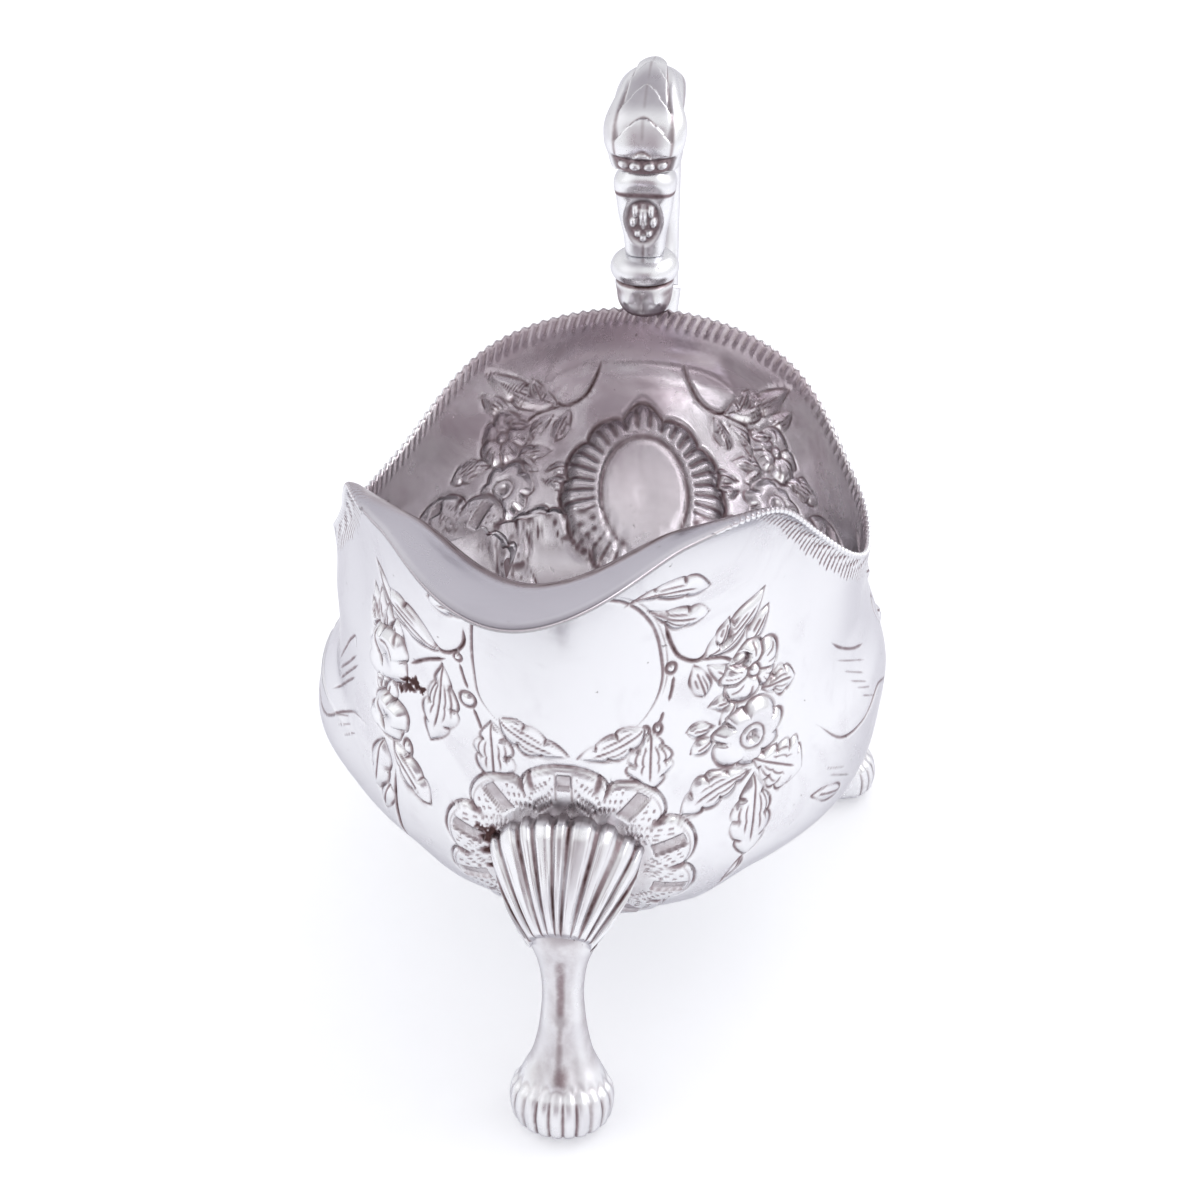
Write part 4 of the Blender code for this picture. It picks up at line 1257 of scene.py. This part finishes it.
def film_inside(make, where, clouds, inside):
    """How thick and how deep the film inside is: patchy, thinner low down and cleared in places to paint
    reflected light, darkest in a high band.
    """
    height = make.add("SeparateXYZ", {0: where}).outputs["Z"]
    # The film thins towards the bottom, leaving the lower inside lighter as painted reflected light.
    thick = make.span(height, *FILM_HEIGHTS)
    # Painted light: the film is cleared round these places.
    for middle, reach in PAINTED_LIGHT_POOLS:
        thick = make.times(thick, make.span(make.distance(where, middle), 0.3 * reach, reach))
    patches = make.noise(where, *FILM_PATCHES)
    thick = make.times(inside, make.times(thick, make.span(patches, 0.38, 0.58, 0.3, 1.0)))
    # The inside is darker in a band near the top.
    band = make.times(make.span(height, *BAND_HEIGHTS), inside)
    deep = make.times(thick, make.span(patches, 0.50, 0.66, 0.0, 0.6))
    deep = make.math("MAXIMUM", deep, make.times(band, make.span(clouds, 0.35, 0.6, 0.6, 1.0)))
    return thick, deep


def silver(name, roughness):
    """Old silver: bright where rubbed, mauve-brown in its lines and in painted shade, with clouds, pits and
    fine scratches, and painted reflections and light on the lip and inside.
    """
    material = bpy.data.materials.new(name)
    material.use_nodes = True
    make = Nodes(material.node_tree)
    where = make.add("TexCoord", {}).outputs["Object"]
    stretched = make.add("Mapping", {"Vector": where, "Scale": SCRATCH_STRETCH}).outputs["Vector"]
    clouds = make.noise(where, *CLOUDS)
    mottle = make.noise(where, *MOTTLE)
    scratches = make.noise(stretched, *SCRATCHES)
    pits = make.span(make.noise(where, *PITS), 0.735, 0.775)
    mark = make.value_of("inside")
    inside = make.span(mark, 0.0, 1.0)
    lip = make.span(mark, 1.0, 2.0)
    rubbed = make.span(make.add("NewGeometry", {}).outputs["Pointiness"], 0.515, 0.56)
    # Painted reflection: the lip's inner face is browned where the camera sees it at a grazing angle.
    grazing_reflection = make.span(make.add("LayerWeight", {}).outputs["Facing"], 0.72, 0.86)
    cloudy = make.span(clouds, 0.48, 0.70, 0.0, 0.3)
    # The film inside, with painted reflected light where it is thin or cleared.
    film_and_painted_light, deep = film_inside(make, where, clouds, inside)
    # The dark marks: tarnish in chased lines and hollows, and painted shade such as the line inside the lip
    # and the band low on the legs.
    line = make.math("MULTIPLY", make.value_of("dark"), make.span(mottle, 0.25, 0.65, 0.72, 1.1), clamp=True)
    colour = make.overlay(CLEAN_SILVER, (
        (cloudy, CLOUDED_SILVER),
        # The bare inside silver, which shows as painted reflected light where the film is thin.
        (inside, BARE_INSIDE_AND_PAINTED_LIGHT),
        (film_and_painted_light, INSIDE_TINT),
        (deep, DEEP_MAUVE),
        # Painted reflection: the lip's inner face in grey.
        (lip, LIP_PAINTED_REFLECTION),
        # Painted reflection of the brown inside, on the lip at grazing angles.
        (make.times(lip, grazing_reflection), PALE_TARNISH_AND_SHADE),
        (make.span(line, 0.02, 0.55), PALE_TARNISH_AND_SHADE),
        (make.span(line, 0.50, 1.0), DEEP_TARNISH_AND_SHADE),
        (make.times(rubbed, 0.2), RUBBED_SILVER),
        (make.times(pits, 0.55), PIT),
    ))
    rough = make.math("ADD", make.span(mottle, 0.3, 0.7, roughness, roughness + 0.09), make.times(line, 0.28))
    relief = make.math("ADD", make.times(scratches, 0.35), make.times(mottle, 0.65))
    bump = make.add("Bump", {"Strength": BUMP_STRENGTH, "Distance": BUMP_DEPTH,
                             "Height": make.math("SUBTRACT", relief, pits)})
    film_body = make.times(film_and_painted_light, make.span(lip, 0.0, 1.0, 0.3, 0.2))
    make.feed(material.node_tree.nodes["Principled BSDF"], {
        "Metallic": make.math("SUBTRACT", 1.0, film_body),
        "Specular Tint": SHEEN,
        "Base Color": colour,
        "Roughness": make.math("ADD", rough, make.times(cloudy, 0.35)),
        "Normal": bump.outputs["Normal"],
    })
    return material


CAMERA_AZIMUTH = 8.27
CAMERA_ELEVATION = 30.99
CAMERA_DISTANCE = 415.13
CAMERA_TARGET = (-3.55, 21.34, 50.65)
CAMERA_ROLL = -0.68
CAMERA_LENS = 73.89


def add_camera():
    azimuth, elevation, roll = (math.radians(v) for v in (CAMERA_AZIMUTH, CAMERA_ELEVATION, CAMERA_ROLL))
    back = Vector((math.sin(azimuth) * math.cos(elevation), -math.cos(azimuth) * math.cos(elevation),
                   math.sin(elevation)))
    right = Vector((math.cos(azimuth), math.sin(azimuth), 0.0))
    up = back.cross(right)
    turned_right = right * math.cos(roll) + up * math.sin(roll)
    turned_up = up * math.cos(roll) - right * math.sin(roll)
    place = (Vector(CAMERA_TARGET) + back * CAMERA_DISTANCE) * MM
    camera = add_object("camera", bpy.data.cameras.new("camera"))
    camera.data.lens = CAMERA_LENS
    camera.data.clip_start = 0.01
    matrix = Matrix((turned_right, turned_up, back)).transposed().to_4x4()
    matrix.translation = place
    camera.matrix_world = matrix
    bpy.context.scene.camera = camera


# What the silver mirrors, what the camera sees, the paper's two tints, and the lamps, in metres.
ROOM = (0.955, 0.955, 0.965)
CEILING = (0.44, 0.41, 0.45)
DARK_END = (0.42, 0.35, 0.385)
WINDOW = (1.12, 1.12, 1.13)
SOFTBOX = (3.2, 3.2, 3.3)
BACKDROP = (1.0, 1.0, 1.02)
PAPER_TINTS = ((0.94, 0.945, 0.965), (0.955, 0.96, 0.98))
FLOOR_HALF_WIDTH = 3.0
LAMPS = (("key", (0.5, 0.35, 0.75), 0.6, 1.0), ("fill", (-0.7, -0.3, 0.6), 0.7, 0.4))
LAMP_TARGET = (0, 0, 0.05)


def add_world():
    """White to the camera and for the shadows. The silver mirrors a pale room instead.

    The room is dimmer overhead and at the camera's end, and has a brighter window and a softbox on its right.
    """
    world = bpy.data.worlds.new("studio")
    world.use_nodes = True
    make = Nodes(world.node_tree)
    x, y, z = make.add("SeparateXYZ", {0: make.add("TexCoord", {}).outputs["Generated"]}).outputs
    across = make.span(make.math("ABSOLUTE", x), 0.60, 0.30)
    along = make.span(make.math("ABSOLUTE", y), 0.50, 0.25)
    room = make.overlay(ROOM, (
        (make.times(make.span(z, 0.66, 0.93), make.span(y, -0.50, -0.15)), CEILING),
        (make.times(make.span(y, -0.35, -0.95), make.span(z, 0.62, 0.25), across), DARK_END),
        (make.times(make.span(x, 0.35, 0.75), make.span(z, 0.05, 0.45)), WINDOW),
        (make.times(make.span(x, 0.52, 0.72), make.span(z, 0.35, 0.50), along), SOFTBOX),
    ))
    mirrored = make.add("LightPath", {}).outputs["Is Glossy Ray"]
    seen = make.mix(mirrored, BACKDROP, room)
    make.feed(world.node_tree.nodes["Background"], {"Color": seen, "Strength": 1.0})
    bpy.context.scene.world = world
    bpy.context.scene.view_settings.view_transform = "Standard"


def add_lamps():
    for name, place, size, power in LAMPS:
        data = bpy.data.lights.new(name, "AREA")
        data.size = size
        data.energy = power
        light = add_object(name, data)
        light.location = place
        light.rotation_euler = (Vector(LAMP_TARGET) - Vector(place)).to_track_quat("-Z", "Y").to_euler()


def add_floor():
    paper = bpy.data.materials.new("paper")
    paper.use_nodes = True
    make = Nodes(paper.node_tree)
    where = make.add("TexCoord", {}).outputs["Object"]
    grain = make.span(make.noise(where, 300.0, 2.0), 0.3, 0.7)
    make.feed(paper.node_tree.nodes["Principled BSDF"], {
        "Base Color": make.mix(grain, *PAPER_TINTS),
        "Roughness": 0.9,
        "Emission Color": (1.0, 1.0, 1.0),
        "Emission Strength": 0.15,
    })
    mesh = bpy.data.meshes.new("floor")
    half = FLOOR_HALF_WIDTH
    mesh.from_pydata([(-half, -half, 0), (half, -half, 0), (half, half, 0), (-half, half, 0)], [], [range(4)])
    mesh.materials.append(paper)
    add_object("floor", mesh)


sheet = silver("sheet_silver_look", roughness=0.15)
cast = silver("cast_silver_look", roughness=0.23)
add_legs(cast)
add_handle(cast)
add_bowl(sheet)
add_world()
add_floor()
add_lamps()
add_camera()
